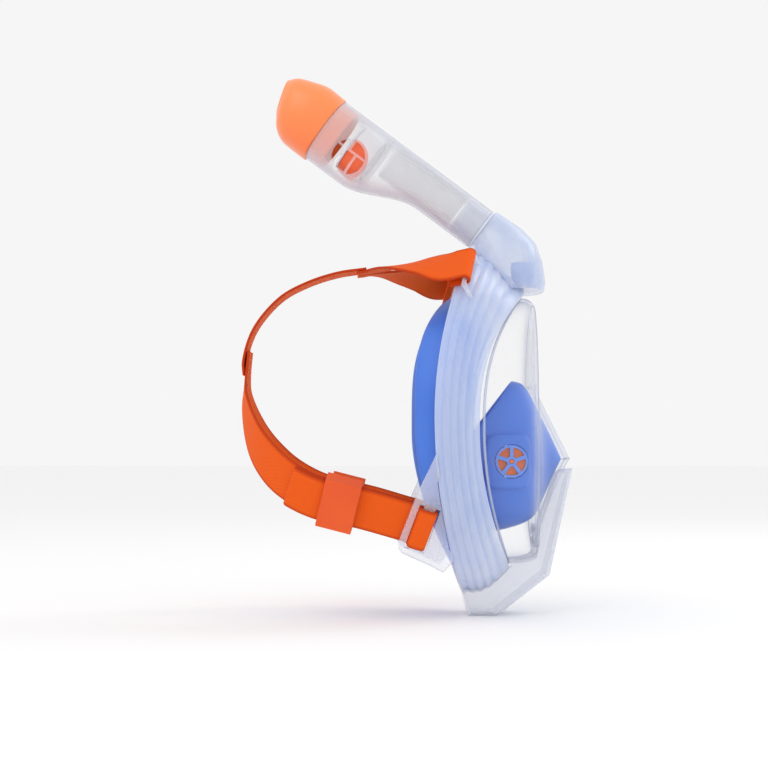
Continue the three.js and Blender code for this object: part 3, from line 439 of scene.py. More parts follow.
# Egg: u = cos(angle); z = middle + half u; y = |sin|^square x half width x (1 + widening u).
def eggPoint(name, angle, grow=0.0):
    top, bottom, halfWidth, widening, square = eggs[name]
    u, s = np.cos(angle), np.sin(angle)
    z = (top + bottom) / 2 + ((top - bottom) / 2 + grow) * u
    y = np.sign(s) * np.abs(s) ** square * (halfWidth + grow) * (1 + widening * u)
    return y, z, u


# Direction: v / |v|, safe for a zero length.
def unit(v):
    return v / np.maximum(np.linalg.norm(v, axis=-1, keepdims=True), 1e-9)


# Mix: a + (b - a) t.
def lerp(a, b, t):
    return a + (b - a) * t


# 3t^2 - 2t^3 between two values.
def smoothStep(low, high, value):
    t = np.clip((value - low) / (high - low), 0, 1)
    return t * t * (3 - 2 * t)


edgeSet = {"frame": (8, 29, 22), "rim": (41, 38, 26), "seal": (-5, 23, 27), "pocket": (27, 42, 24)}


# X of an edge by u: its middle value plus top sweep x |u|^a above or bottom sweep x |u|^b below.
def edgeX(name, u, above, below):
    middle, topSweep, bottomSweep = edgeSet[name]
    return middle + np.where(u > 0, topSweep * np.abs(u) ** above, bottomSweep * np.abs(u) ** below)


def frameRearX(u):
    return edgeX("frame", u, 2, 2)


def rimX(u):
    return edgeX("rim", u, 2.5, 2)


def sealX(u):
    return edgeX("seal", u, 4, 1.8)


def pocketX(u):
    return edgeX("pocket", u, 1, 2)


noseSet = {"heights": [-120, -90, -75, -52, -44, 10], "rises": [1, 6, 12, 22.5, 27, 0], "halfWidth": 24}


# The nose ridge: a broken line over height, falling to the sides as 1 / (1 + (y / 24)^4).
def noseRise(y, z):
    return np.interp(z, noseSet["heights"], noseSet["rises"]) / (1 + np.abs(y / noseSet["halfWidth"]) ** 4)


# Outward normals of a surface function from its two tangents, taken over small steps.
def surfaceNormals(surface, angle, b):
    step = 2e-3
    along = surface(angle, np.minimum(b + step, 1.0)) - surface(angle, np.maximum(b - step, 0.0))
    around = surface(angle + step, b) - surface(angle - step, b)
    return unit(np.cross(along, around))


# Points of a surface function on a grid of angles and shares, moved out along its normals.
def sample(surface, columns, shares, offset=0.0):
    angle, b = np.meshgrid(np.arange(columns) / columns * turn, np.asarray(shares, float))
    points = surface(angle, b)
    if np.any(offset):
        off = offset if np.ndim(offset) == 0 else np.asarray(offset)[:, None, None]
        points = points + surfaceNormals(surface, angle, b) * off
    return points


# Smooth curve through rows of points (rows x n x 3), one share of the way for each of n. Each
# stretch is a cubic whose knots are spaced by the root of the chord, so it doesn't overshoot.
def smoothThrough(rows, shares):
    rows = np.asarray(rows, float)
    shares = np.asarray(shares, float)
    if rows.ndim == 2:
        rows = np.repeat(rows[:, None, :], len(shares), 1)
    rows = np.concatenate([[2 * rows[0] - rows[1]], rows, [2 * rows[-1] - rows[-2]]])
    spans = len(rows) - 3
    where = np.clip(shares * spans, 0, spans - 1e-9)
    k, n = where.astype(int), np.arange(len(shares))
    t = (where - k)[:, None]
    p0, p1, p2, p3 = (rows[k + i, n] for i in range(4))
    d0, d1, d2 = (np.maximum(np.linalg.norm(b - a, axis=1) ** 0.5, 1e-4)[:, None]
                  for a, b in ((p0, p1), (p1, p2), (p2, p3)))
    m1 = ((p1 - p0) / d0 - (p2 - p0) / (d0 + d1) + (p2 - p1) / d1) * d1
    m2 = ((p2 - p1) / d1 - (p3 - p1) / (d1 + d2) + (p3 - p2) / d2) * d1
    return ((2 * t ** 3 - 3 * t ** 2 + 1) * p1 + (t ** 3 - 2 * t ** 2 + t) * m1
            + (3 * t ** 2 - 2 * t ** 3) * p2 + (t ** 3 - t ** 2) * m2)


# Cuts closed meshes out of a closed piece and keeps the result as its mesh.
def cutAway(obj, cutters):
    for mesh in cutters:
        tool = bpy.data.objects.new("cutter", mesh)
        bpy.context.scene.collection.objects.link(tool)
        modifier = obj.modifiers.new("cut", "BOOLEAN")
        modifier.operation = "DIFFERENCE"
        modifier.solver = "MANIFOLD"
        modifier.object = tool
    before = len(obj.data.polygons)
    evaluated = obj.evaluated_get(bpy.context.evaluated_depsgraph_get())
    mesh = bpy.data.meshes.new_from_object(evaluated)
    tools = [m.object for m in obj.modifiers if m.type == "BOOLEAN"]
    obj.modifiers.clear()
    obj.data = mesh
    print(obj.name, "cut:", before, "to", len(mesh.polygons), "faces")
    for tool in tools:
        bpy.data.objects.remove(tool)


frameLook = {
    "wall": 3.0, "bulge": 5.0, "halfWidth": 92, "lipOut": 3.3,
    "ridges": 6, "grooveDepth": 0.9, "grooveShape": 0.6, "plainEnds": 0.06,
    "edgeRound": 1.2, "edgeShare": 0.02, "rows": 97, "columns": 200,
    "grooveShade": 0.6, "rearTint": 0.55, "clearFront": 0.12,
}


# Frame: straight lines from the rear egg to the lip round the visor, swelled by sin(pi b).
def frameSurface(angle, b):
    y0, z0, u0 = eggPoint("frame", angle)
    y1, z1, u1 = eggPoint("visor", angle, frameLook["lipOut"])
    swell = 1 + frameLook["bulge"] / frameLook["halfWidth"] * np.sin(np.pi * b)
    x = lerp(frameRearX(u0), rimX(u1), b)
    return np.stack([x, lerp(y0, y1, b) * swell, lerp(z0, z1, b) * swell], -1)


# Grooves: (0.5 - 0.5 cos(ridges turns))^shape is 0 in a groove and 1 on a ridge, and the two
# edges are rounded by exponential falls.
def makeFrame():
    look = frameLook
    shares = np.linspace(0, 1, look["rows"])
    ridge = (0.5 - 0.5 * np.cos(turn * shares * look["ridges"])) ** look["grooveShape"]
    inside = (shares > look["plainEnds"]) * (shares < 1 - look["plainEnds"])
    falls = np.exp(-shares / look["edgeShare"]) + np.exp(-(1 - shares) / look["edgeShare"])
    rounded = look["edgeRound"] * falls
    depth = -look["grooveDepth"] * (1 - ridge) * inside - rounded
    outer = sample(frameSurface, frameLook["columns"], shares, depth)
    inner = sample(frameSurface, frameLook["columns"], shares[::4], -frameLook["wall"])
    mesh = loopMesh("frameShell", np.concatenate([outer, inner[::-1]]), ring=True)
    # Groove attribute: painted shade, a deeper blue in each groove against paler crests. The frame is also
    # bluer towards the rear and less so at the front.
    tinted = (shares > look["plainEnds"] / 2) * (shares < 1 - look["plainEnds"] / 2)
    tintAndShadeAmount = look["grooveShade"] * (1 - ridge) * tinted + look["rearTint"] * (1 - shares) - look["clearFront"]
    tintAndShadeAmount = np.concatenate([tintAndShadeAmount, np.zeros(len(inner))])
    layer = mesh.attributes.new("groove", "FLOAT", "POINT")
    layer.data.foreach_set("value", np.repeat(tintAndShadeAmount, frameLook["columns"]).astype(np.float32))
    return place("frameShell", mesh, "frost", "mask", ["frame"], "frosted_plastic")


makeFrame()
print("frame made")


visorLook = {
    "frontX": 84.5, "middleZ": -24.0, "wall": 2.4, "power": 0.72, "panelStart": 0.55, "lap": 6.0,
    "shadedEdge": 1.0, "bezelShare": 0.03, "panelBead": 0.6, "panelEdge": 0.47, "rows": 44, "gather": 1.9,
    "lastShare": 0.985, "columns": 220, "beadColumns": 260,
}


# Visor: a quarter superellipse from the rim to the flat panel, then flat to the middle, with the
# nose ridge added in proportion to how far forward the point is.
def visorSurface(angle, b):
    ey, ez, eu = eggPoint("visor", angle)
    py, pz, _ = eggPoint("panel", angle)
    bend = np.minimum(b / visorLook["panelStart"], 1) * np.pi / 2
    inward = 1 - np.maximum(np.cos(bend), 0) ** visorLook["power"]
    forward = np.sin(bend) ** visorLook["power"]
    wide = 1 - np.maximum(b - visorLook["panelStart"], 0) / (1 - visorLook["panelStart"])
    y = lerp(ey, py, inward) * wide
    z = lerp(lerp(ez, pz, inward), visorLook["middleZ"], 1 - wide)
    x = lerp(rimX(eu) - visorLook["lap"], visorLook["frontX"], forward) + noseRise(y, z) * forward
    return np.stack([x, y, z], -1)


def makeVisor():
    side = visorLook["panelStart"] * np.linspace(0, 1, visorLook["rows"]) ** visorLook["gather"]
    panel = np.linspace(visorLook["panelStart"], visorLook["lastShare"], visorLook["rows"])[1:]
    shares = np.concatenate([side, panel])
    outer = sample(visorSurface, visorLook["columns"], shares)
    inner = sample(visorSurface, visorLook["columns"], shares, -visorLook["wall"])
    mesh = loopMesh("visorDome", np.concatenate([outer[::-1], inner]))
    return place("visorDome", mesh, "window", "mask", ["lens"], "clear_plastic")


# Bead: a flattened round section carried round the visor at one share of its outline.
def makeBead(name, share, radius, finish):
    columns = visorLook["beadColumns"]
    angle = np.arange(columns) / columns * turn
    shares = np.full(columns, share)
    path = visorSurface(angle, shares)
    out = surfaceNormals(visorSurface, angle, shares)
    along = unit(np.roll(path, -1, 0) - np.roll(path, 1, 0))
    side = np.cross(along, out)
    ring = np.arange(10) / 10 * turn
    loops = (path[:, None] + radius * (np.cos(ring)[None, :, None] * out[:, None] * 0.6
             + np.sin(ring)[None, :, None] * side[:, None]))
    return place(name, loopMesh(name, loops, ring=True), finish, "mask", [], "clear_plastic")


makeVisor()
# Beads at the visor's thick rim and at the flat panel's crease, both real. Their darker finish is painted
# shade for the dark lines that refraction draws there.
makeBead("visorRimShade", visorLook["bezelShare"], visorLook["shadedEdge"], "shadedEdge")
makeBead("panelEdge", visorLook["panelEdge"], visorLook["panelBead"], "shadedEdge")
print("visor made")


skirtLook = {
    "wall": 2.2, "lipForward": 9.0, "lipRound": 0.6, "bellyOut": 4.0, "flangeOut": -0.5, "gap": 0.3,
    "rows": 56, "columns": 180,
}


# Skirt: a smooth curve from the soft lip, round the seal, over the belly to the flange.
def skirtSurface(angle, b):
    shape = np.broadcast(angle, b).shape
    a, share = np.broadcast_to(angle, shape).ravel(), np.broadcast_to(b, shape).ravel()
    ly, lz, lu = eggPoint("lip", a)
    sy, sz, su = eggPoint("seal", a)
    by, bz, _ = eggPoint("visor", a, skirtLook["bellyOut"])
    fy, fz, fu = eggPoint("visor", a, skirtLook["flangeOut"])
    flangeX = rimX(fu) - visorLook["lap"] - skirtLook["gap"]
    rows = np.stack([
        np.stack([sealX(lu) + skirtLook["lipForward"], ly, lz], -1),
        np.stack([sealX(su), sy, sz], -1),
        np.stack([lerp(flangeX, sealX(su), 0.5), by, bz], -1),
        np.stack([flangeX, fy, fz], -1),
    ])
    return smoothThrough(rows, share).reshape(*shape, 3)


def makeSkirt():
    shares = np.linspace(0, 1, skirtLook["rows"])
    outer = sample(skirtSurface, skirtLook["columns"], shares)
    inner = sample(skirtSurface, skirtLook["columns"], shares, -skirtLook["wall"])
    lip = (outer[0] + inner[0]) / 2
    lip = lip + (lip - (outer[1] + inner[1]) / 2) * skirtLook["lipRound"]
    mesh = loopMesh("faceSkirt", np.concatenate([lip[None], outer, inner[::-1]]), ring=True)
    return place("faceSkirt", mesh, "silicone", "mask", ["face_skirt"], "blue_silicone")


makeSkirt()
print("skirt made")


pocketLook = {
    "wall": 2.0, "tipX": 112.0, "tipZ": -46.0, "taper": 1.25, "gap": 3.0, "ease": 5.0,
    "rows": 60, "lastShare": 0.985, "innerRows": 44, "hollowRows": 50, "columns": 140,
}
houseLook = {
    "middle": (62.7, -46.0), "half": (16.7, 20.0), "squareness": 5, "rootY": 28.0, "faceY": 44.0,
    "round": 2.4, "shrink": 18, "edgeDrop": 0.5, "valve": (65.5, -46.0), "bore": 12.3, "columns": 96,
    "cutY": (16.0, 60.0), "boreColumns": 48,
}


# Pocket: forward by sin^taper, drawn in by cos^(1 / taper), eased to run a gap behind the visor.
def pocketSurface(angle, b):
    y0, z0, u0 = eggPoint("pocket", angle)
    bend = b * np.pi / 2
    forward = np.sin(bend) ** pocketLook["taper"]
    around = np.maximum(np.cos(bend), 0) ** (1 / pocketLook["taper"])
    y, z = y0 * around, lerp(pocketLook["tipZ"], z0, around)
    room = visorLook["frontX"] + noseRise(y, z) - visorLook["wall"] - pocketLook["gap"]
    x = lerp(pocketX(u0), pocketLook["tipX"], forward)
    return np.stack([(x + room - np.hypot(x - room, pocketLook["ease"])) / 2, y, z], -1)


# Circle of the valve's bore, as (x, z).
def boreCircle(columns):
    angle = np.arange(columns) / columns * turn
    ring = np.stack([np.cos(angle), np.sin(angle)], -1)
    return np.array(houseLook["valve"]) + houseLook["bore"] * ring


# Housing: squarish ovals |x / a|^5 + |z / b|^5 = 1 that shrink to the valve's bore, which goes
# back to the root.
def makeHousing():
    look = houseLook
    angle = np.arange(look["columns"]) / look["columns"] * turn
    c, s = np.cos(angle), np.sin(angle)
    power = look["squareness"]
    reach = (np.abs(c / look["half"][0]) ** power + np.abs(s / look["half"][1]) ** power) ** (-1 / power)
    middle = np.array(look["middle"])
    box = middle + reach[:, None] * np.stack([c, s], -1)
    bore = boreCircle(look["columns"])
    face, root, rounding = look["faceY"], look["rootY"], look["round"]
    bend = np.linspace(0, np.pi / 2, 6)
    steps = [(0.0, 0.0, root), (0.0, 0.0, face - rounding)]
    steps += [(1 - np.cos(t), 0.0, face - rounding * (1 - np.sin(t))) for t in bend[1:]]
    steps += [(1.0, 0.5, face), (1.0, 0.94, face), (1.0, 1.0, face - look["edgeDrop"]), (1.0, 1.0, root)]
    loops = []
    for draw, toBore, y in steps:
        inset = middle + (box - middle) * (1 - draw * rounding / look["shrink"])
        flat = lerp(inset, bore, toBore)
        loops.append(np.stack([flat[:, 0], np.full(len(flat), y), flat[:, 1]], -1))
    return loopMesh("valveHousing", np.array(loops), ring=True)


# Bore: a round hole along Y on one side, from inside the pocket to beyond the housing.
def boreCutter(side):
    circle = boreCircle(houseLook["boreColumns"])
    loops = [np.stack([circle[:, 0], np.full(len(circle), side * y), circle[:, 1]], -1)
             for y in houseLook["cutY"]]
    return loopMesh("cutter", np.stack(loops))


def makePocket():
    shares = np.linspace(0, pocketLook["lastShare"], pocketLook["rows"])
    outer = sample(pocketSurface, pocketLook["columns"], shares)
    rear = shares[:pocketLook["innerRows"]]
    inner = sample(pocketSurface, pocketLook["columns"], rear, -pocketLook["wall"])
    mesh = loopMesh("nosePocket", np.concatenate([outer[::-1], inner]))
    pocket = place("nosePocket", mesh, "silicone", "mask", ["nose_pocket"], "blue_silicone")
    cutAway(pocket, [boreCutter(1), boreCutter(-1)])
    sharpen(pocket.data, 40)
    deeper = shares[:pocketLook["hollowRows"]]
    hollow = sample(pocketSurface, pocketLook["columns"], deeper, -pocketLook["wall"] / 2)
    for side, name in ((1, "valveHousing_left"), (-1, "valveHousing_right")):
        mesh = makeHousing() if side > 0 else mirrorMesh(makeHousing(), name)
        house = place(name, mesh, "silicone", "mask", [], "blue_silicone")
        cutAway(house, [loopMesh("cutter", hollow)])
        sharpen(house.data, 40)


makePocket()
for side in ("left", "right"):
    finishedCopy("inhale_seat_" + side, "bluePlastic", "mask", "blue_plastic", 0.25)
    finishedCopy("inhale_flap_" + side, "flap", "inhale_flap_" + side, "orange_silicone", 0.15)
print("nose pocket made")


finishedCopy("chin_guard", "guard", "mask", "clear_plastic", 0.5, 25)
finishedCopy("drain_seat", "guard", "mask", "clear_plastic", 0.2)
finishedCopy("drain_flap", "softClear", "drain_flap", "clear_silicone", 0.1)
finishedCopy("crown_housing", "crown", "mask", "frosted_plastic", 0.0, 50)
finishedCopy("air_duct", "bluePlastic", "mask", "blue_plastic", 0.2)
finishedCopy("tube_gasket", "softClear", "mask", "clear_silicone", 0.2)
print("crown made")


tubeLook = {
    "footX": 56.2, "footZ": 142.5, "leanCos": 0.6, "leanSin": 0.8, "gap": 1.7, "wall": 1.8,
    "depth": 32.0, "headDepth": 51.5, "halfWidth": 23.0, "headHalfWidth": 26.0, "power": 2.4,
    "length": 138.0, "neck": (48.0, 106.0),
    "edges": [0, 0.4, 1.2], "edgeInsets": [0.5, 0.15, 0], "rows": 80, "columns": 96,
}


# From the tube's own frame (x forward of its front line, z up the tube) to the row frame.
def fromTube(p):
    x, y, z = p[..., 0], p[..., 1], p[..., 2]
    c, s = tubeLook["leanCos"], tubeLook["leanSin"]
    return np.stack([tubeLook["footX"] + c * x - s * z, y, tubeLook["footZ"] + s * x + c * z], -1)


# Squarish oval: each axis is |cos| or |sin| to the power 2 / 2.4.
def oval(frontX, rearX, halfWidth, z):
    angle = np.arange(tubeLook["columns"]) / tubeLook["columns"] * turn
    c, s = np.cos(angle), np.sin(angle)
    across, out = (np.sign(v) * np.abs(v) ** (2 / tubeLook["power"]) for v in (c, s))
    frontX, rearX, halfWidth, z = (np.atleast_1d(np.asarray(v, float))[:, None]
                                   for v in (frontX, rearX, halfWidth, z))
    x = (frontX + rearX) / 2 + across * (frontX - rearX) / 2
    return np.stack(np.broadcast_arrays(x, out * halfWidth, z), -1)


# Tube: ovals that grow from the tube's depth and width to the head's by 3t^2 - 2t^3 over the neck.
def tubeLoops(places, inset):
    places = np.asarray(places, float)
    opened = smoothStep(*tubeLook["neck"], places)
    depth = lerp(tubeLook["depth"], tubeLook["headDepth"], opened)
    halfWidth = lerp(tubeLook["halfWidth"], tubeLook["headHalfWidth"], opened)
    return oval(-tubeLook["gap"] - inset, -tubeLook["gap"] - depth + inset, halfWidth - inset, places)


# A cell is (nearest and furthest across the tube, lowest and highest along it).
grilleLook = {
    "along": 110.0, "depth": 34.5, "radius": 12.5, "steps": 12, "cutY": (17.0, 31.0),
    "cells": [(5.2, 13, -13, 1.4), (5.2, 13, 3.4, 13), (-13, 3.4, -13, -5.4), (-13, 3.4, -3.4, 3.8),
              (-13, 3.4, 5.8, 13)],
}


# Window cells: rectangles drawn in to a round window, on each side of a rib along the tube.
def grilleCutters():
    look, cutters = grilleLook, []
    middleX = -tubeLook["gap"] - look["depth"]
    t = np.linspace(0, 1, look["steps"], endpoint=False)[:, None]
    for lowX, highX, lowA, highA in look["cells"]:
        corners = np.array([(lowX, lowA), (highX, lowA), (highX, highA), (lowX, highA)], float)
        edge = np.concatenate([lerp(a, b, t) for a, b in zip(corners, np.roll(corners, -1, 0))])
        size = np.maximum(np.linalg.norm(edge, axis=1, keepdims=True), 1e-6)
        edge = edge * np.minimum(1, look["radius"] / size)
        for side in (1, -1):
            x, along = middleX + edge[:, 0], look["along"] + edge[:, 1]
            loops = [np.stack([x, np.full(len(edge), side * y), along], -1) for y in look["cutY"]]
            cutters.append(loopMesh("cutter", fromTube(np.stack(loops))))
    return cutters


def makeTube():
    start = np.array(tubeLook["edges"])
    end = tubeLook["length"] - start[::-1]
    places = np.concatenate([start[:2], np.linspace(start[2], end[0], tubeLook["rows"]), end[1:]])
    insets = tubeLook["edgeInsets"]
    inset = np.interp(places, np.concatenate([start, end]), insets + insets[::-1])
    outer = np.concatenate([tubeLoops([p], i) for p, i in zip(places, inset)])
    inner = tubeLoops(places[::2], tubeLook["wall"])
    mesh = loopMesh("snorkelTube", fromTube(np.concatenate([outer, inner[::-1]])), ring=True)
    obj = place("snorkelTube", mesh, "clear", "snorkel", ["snorkel_tube"], "clear_plastic")
    cutAway(obj, grilleCutters())
    sharpen(obj.data, 40)


capLook = {
    "front": [(-0.6, 0), (-1, 17), (2.6, 29), (7, 39.5), (12.5, 45)],
    "rear": [(52.8, 0), (52.6, 12), (51.8, 22), (47.5, 30), (40, 36)],
    "halfWidths": [26.6, 26.6, 25, 20.5, 13],
    "joint": 138.3, "plug": 14.0, "plugGap": 0.35, "plugWall": 1.45, "crown": 1.3, "rows": 44,
    "edge": 0.5, "edgeInset": 0.985,
}


# Cap: ovals between smooth front and rear edge curves; each ring's height runs straight from its
# rear point to its front one. The plug below is the tube's oval, moved in by the wall.
def makeCap():
    look = capLook
    share = np.linspace(0, 1, look["rows"])
    front = smoothThrough([(a, b, 0) for a, b in look["front"]], share)
    rear = smoothThrough([(a, b, 0) for a, b in look["rear"]], share)
    wide = smoothThrough([(w, 0, 0) for w in look["halfWidths"]], share)[:, 0]
    frontX, rearX = -tubeLook["gap"] - front[:, 0], -tubeLook["gap"] - rear[:, 0]
    loops = oval(frontX, rearX, wide, 0.0)
    t = (loops[..., 0] - rearX[:, None]) / (frontX - rearX)[:, None]
    loops[..., 2] = look["joint"] + lerp(rear[:, 1][:, None], front[:, 1][:, None], t)
    top, middle = loops[-1], loops[-1].mean(0)
    bend = np.linspace(0.25, 1.45, 7)[:, None, None]
    crownDome = middle + (top - middle) * np.cos(bend) + np.array([0, 0, look["crown"]]) * np.sin(bend)
    edge = loops[:1].copy()
    edge[..., 2] += look["edge"]
    foot = loops[0].mean(0)
    loops[0] = foot + (loops[0] - foot) * look["edgeInset"]
    low = look["joint"] - look["plug"]
    plugInset = tubeLook["wall"] + look["plugGap"]
    plug = tubeLoops(np.linspace(look["joint"], low, 8), plugInset)
    bore = tubeLoops(np.linspace(low, look["joint"] + 1, 4), plugInset + look["plugWall"])
    every = np.concatenate([bore[::-1], plug[::-1], loops[:1], edge, loops[1:], crownDome])
    mesh = loopMesh("snorkelCap", fromTube(every))
    return place("snorkelCap", mesh, "cap", "snorkel", ["snorkel_cap"], "orange_plastic")


makeTube()
makeCap()
finishedCopy("tube_channel", "clear", "snorkel", "clear_plastic", 0.4)
finishedCopy("float_cage", "clear", "snorkel", "clear_plastic", 0.2)
finishedCopy("float_block", "float", "float", "orange_plastic", 0.6)
finishedCopy("float_seal", "softClear", "float", "clear_silicone", 0.3)
print("snorkel made")


webLook = {
    "width": 32.0, "thickness": 1.8, "layer": 2.5, "seamWidth": 15.6, "roundEdge": 0.04, "flatPoints": 7,
}


# Webbing section: a flat strip with rounded edges, as (across, out) pairs and a share across.
def webSection():
    half, count, edge = webLook["thickness"] / 2, webLook["flatPoints"], webLook["roundEdge"]
    bend = np.linspace(-np.pi / 2, np.pi / 2, 5)
    flat = np.linspace(-1, 1, count + 2)[1:-1]
    inner = 1 - edge
    right = np.stack([inner + edge * np.cos(bend), half * np.sin(bend)], -1)
    top = np.stack([inner * flat[::-1], np.full(count, half)], -1)
    return np.concatenate([right, top, -right, -top])


# Webbing: the section carried through stations of middle, across, out and width.
def ribbonMesh(name, middle, across, out, width):
    section = webSection()
    loops = (middle[:, None] + across[:, None] * (section[None, :, :1] * width[:, None, None] / 2)
             + out[:, None] * section[None, :, 1:])
    gone = np.concatenate([[0], np.cumsum(np.linalg.norm(np.diff(middle, axis=0), axis=1))]) / 1000
    uv = np.stack(np.broadcast_arrays((section[None, :, 0] + 1) / 2, gone[:, None]), -1)
    return loopMesh(name, loops, uv=uv)


# Stations on a smooth path: the outward direction is the facing curve less its part along the path.
def stationsAlong(path, outs, shares, widthAt):
    shares = np.asarray(shares, float)
    step = 1e-4
    low, high = np.maximum(shares - step, 0), np.minimum(shares + step, 1)
    tangent = unit(smoothThrough(path, high) - smoothThrough(path, low))
    out = smoothThrough(outs, shares)
    out = unit(out - (out * tangent).sum(1, keepdims=True) * tangent)
    return smoothThrough(path, shares), np.cross(tangent, out), out, widthAt(shares)


bandPath = [(-131, 18), (-131.5, 28), (-124, 52), (-105, 75), (-86, 86), (-62, 94), (-40, 97.3)]


# Centre band: webbing in the middle plane, over the back and top of the head.
def makeBand():
    shares = np.linspace(0, 1, 120)
    path = [(x, 0, z) for x, z in bandPath]
    middle = smoothThrough(path, shares)
    tangent = unit(np.gradient(middle, axis=0))
    across = np.tile([0.0, 1.0, 0.0], (len(shares), 1))
    out = -np.cross(tangent, across)
    mesh = ribbonMesh("strapBand", middle, across, out, np.full(len(shares), webLook["width"]))
    place("strapBand", mesh, "webbing", "mask", ["strap_centre_band"], "orange_webbing")


# The buckle lies in a plane; the strap runs onward in it, and its bars run barward.
buckleSet = {"origin": (0.3, 64.49, -95.0), "slope": 0.5, "droop": math.radians(18), "slotMiddle": 1.5,
             "inner": -6.3, "approach": -15.0, "steps": 24, "foldStep": 14, "endStep": 19, "foldReach": 2.2,
             "widens": (0.06, 0.36)}
plane = unit(np.array([0, 1, -buckleSet["slope"]]))
steep = np.array([0, -plane[2], plane[1]])
onward = np.array([math.cos(buckleSet["droop"]), 0, 0]) - steep * math.sin(buckleSet["droop"])
barward = np.array([math.sin(buckleSet["droop"]), 0, 0]) + steep * math.cos(buckleSet["droop"])


# A point by the buckle's slot: slot middle + forward x onward + out x plane.
def byBuckle(forward, out):
    middle = np.array(buckleSet["origin"]) + barward * buckleSet["slotMiddle"]
    return middle + onward * forward + plane * out


lowerPath = [(-127.3, 8.1, 36), (-128.8, 8.7, 21), (-130.3, 14.5, 0), (-121.5, 33, -30), (-108, 48, -49),
             (-94, 58.6, -60.5), (-77, 64.3, -69.2), (-56, 65.7, -75.2),
             byBuckle(-40, buckleSet["inner"]), byBuckle(buckleSet["approach"], buckleSet["inner"])]
lowerOuts = [(-1, 0, 0.1), (-1, 0.02, 0), (-0.97, 0.2, -0.05), (-0.88, 0.45, -0.1), (-0.73, 0.66, -0.15),
             (-0.58, 0.78, -0.25), (-0.35, 0.86, -0.36), (-0.15, 0.88, -0.43), plane, plane]
wrapWay = [(1, -6.3), (3.8, -5.2), (5.2, -2.8), (5.2, 0), (4.6, 2.2), (2.6, 3), (-3.6, 3), (-5.9, 2.2),
           (-6.6, 0), (-6.9, -2.1), (-9.2, -3.6), (-15, -3.8)]


# Width: the seam's to the webbing's by 3t^2 - 2t^3.
def lowerWidth(share):
    return lerp(webLook["seamWidth"], webLook["width"], smoothStep(*buckleSet["widens"], share))


# Lower webbing: the inner layer to the buckle, round its bar, back one layer out, a fold, and the
# loose end one more layer out, under the keeper.
def makeLowerStrap():
    def layer(shares, lift, flip):
        middle, across, out, width = stationsAlong(lowerPath, lowerOuts, shares, lowerWidth)
        return middle + out * lift, across, -out if flip else out, width

    base = layer(np.linspace(0, 1, 97), 0, False)
    last = wrapWay[-1]
    way = np.array([(buckleSet["approach"], buckleSet["inner"]), *wrapWay, (2 * last[0], last[1])])
    step = unit(way[2:] - way[:-2])
    wrapMiddle = np.array([byBuckle(f, o) for f, o in wrapWay])
    wrapOut = onward * -step[:, 1:] + plane * step[:, :1]
    dense = np.linspace(0, 1, 70)
    wrap = (smoothThrough(wrapMiddle, dense), np.tile(barward, (len(dense), 1)),
            unit(smoothThrough(wrapOut, dense)), np.full(len(dense), webLook["width"]))
    steps, foldStep, endStep = (buckleSet[key] for key in ("steps", "foldStep", "endStep"))
    back = layer(np.linspace((steps - 1) / steps, foldStep / steps, 40), webLook["layer"], True)
    tail = layer(np.linspace(foldStep / steps, endStep / steps, 24), webLook["layer"] * 2, False)
    rear = unit(tail[0][0] - tail[0][1])
    bend = np.linspace(-np.pi / 2, np.pi / 2, 9)[1:-1]
    lastMiddle, firstMiddle = back[0][-1], tail[0][0]
    up = (firstMiddle - lastMiddle) / 2
    c, s = np.cos(bend)[:, None], np.sin(bend)[:, None]
    foldMiddle = (lastMiddle + firstMiddle) / 2 + c * rear * buckleSet["foldReach"] + s * up
    foldOut = unit(c * rear + s * unit(up))
    fold = (foldMiddle, np.tile(tail[1][0], (7, 1)), foldOut, np.full(7, webLook["width"]))
    parts = [np.concatenate(rows) for rows in zip(base, wrap, back, fold, tail)]
    return ribbonMesh("strapLower", *parts)


# The upper bar's ends, the way the strap comes to it, and the strap's face there.
barSet = {"top": (36, 52.99, 107), "bottom": (29.5, 78.48, 80), "radius": 1.8, "loopGap": 0.5,
          "strapLine": (1, 0.62, -0.03), "sewnEnd": (-2, -13), "widens": (0.1, 0.55)}
barTop, barBottom = np.array(barSet["top"], float), np.array(barSet["bottom"], float)
barMiddle, barLine = (barTop + barBottom) / 2, unit(barTop - barBottom)
strapLine = np.array(barSet["strapLine"])
strapLine = unit(strapLine - barLine * (strapLine @ barLine))
strapFace = -np.cross(strapLine, barLine)
loopRadius = barSet["radius"] + barSet["loopGap"] + webLook["thickness"] / 2


# A point by the upper bar: bar middle + forward x strap line + out x strap face.
def byBar(forward, out):
    return barMiddle + strapLine * forward + strapFace * out


upperPath = [(-46, 8.5, 94.2), (-36, 10, 95.8), (-22, 22, 97.4), (-8, 36.5, 97.6), (6, 50, 96.3),
             byBar(-13, loopRadius), byBar(-1, loopRadius)]
upperOuts = [(0, 0, 1), (0, 0.03, 1), (0, 0.15, 1), (-0.05, 0.35, 0.93), (-0.15, 0.52, 0.82),
             strapFace, strapFace]


def upperWidth(share):
    return lerp(webLook["seamWidth"], webLook["width"], smoothStep(*barSet["widens"], share))


# Upper webbing: a run to the bar, half a turn round it, and a short end sewn back underneath.
def makeUpperStrap():
    run = stationsAlong(upperPath, upperOuts, np.linspace(0, 1, 90), upperWidth)
    bend = np.linspace(np.pi / 2, -np.pi / 2, 22)[:, None]
    across = np.tile(run[1][-1], (22, 1))
    arcOut = strapLine * np.cos(bend) + strapFace * np.sin(bend)
    arc = (barMiddle + arcOut * loopRadius, across, arcOut, np.full(22, webLook["width"]))
    back = np.linspace(*barSet["sewnEnd"], 8)
    end = (np.array([byBar(f, -loopRadius) for f in back]), across[:8], np.tile(-strapFace, (8, 1)),
           np.full(8, webLook["width"]))
    return ribbonMesh("strapUpper", *[np.concatenate(rows) for rows in zip(run, arc, end)])


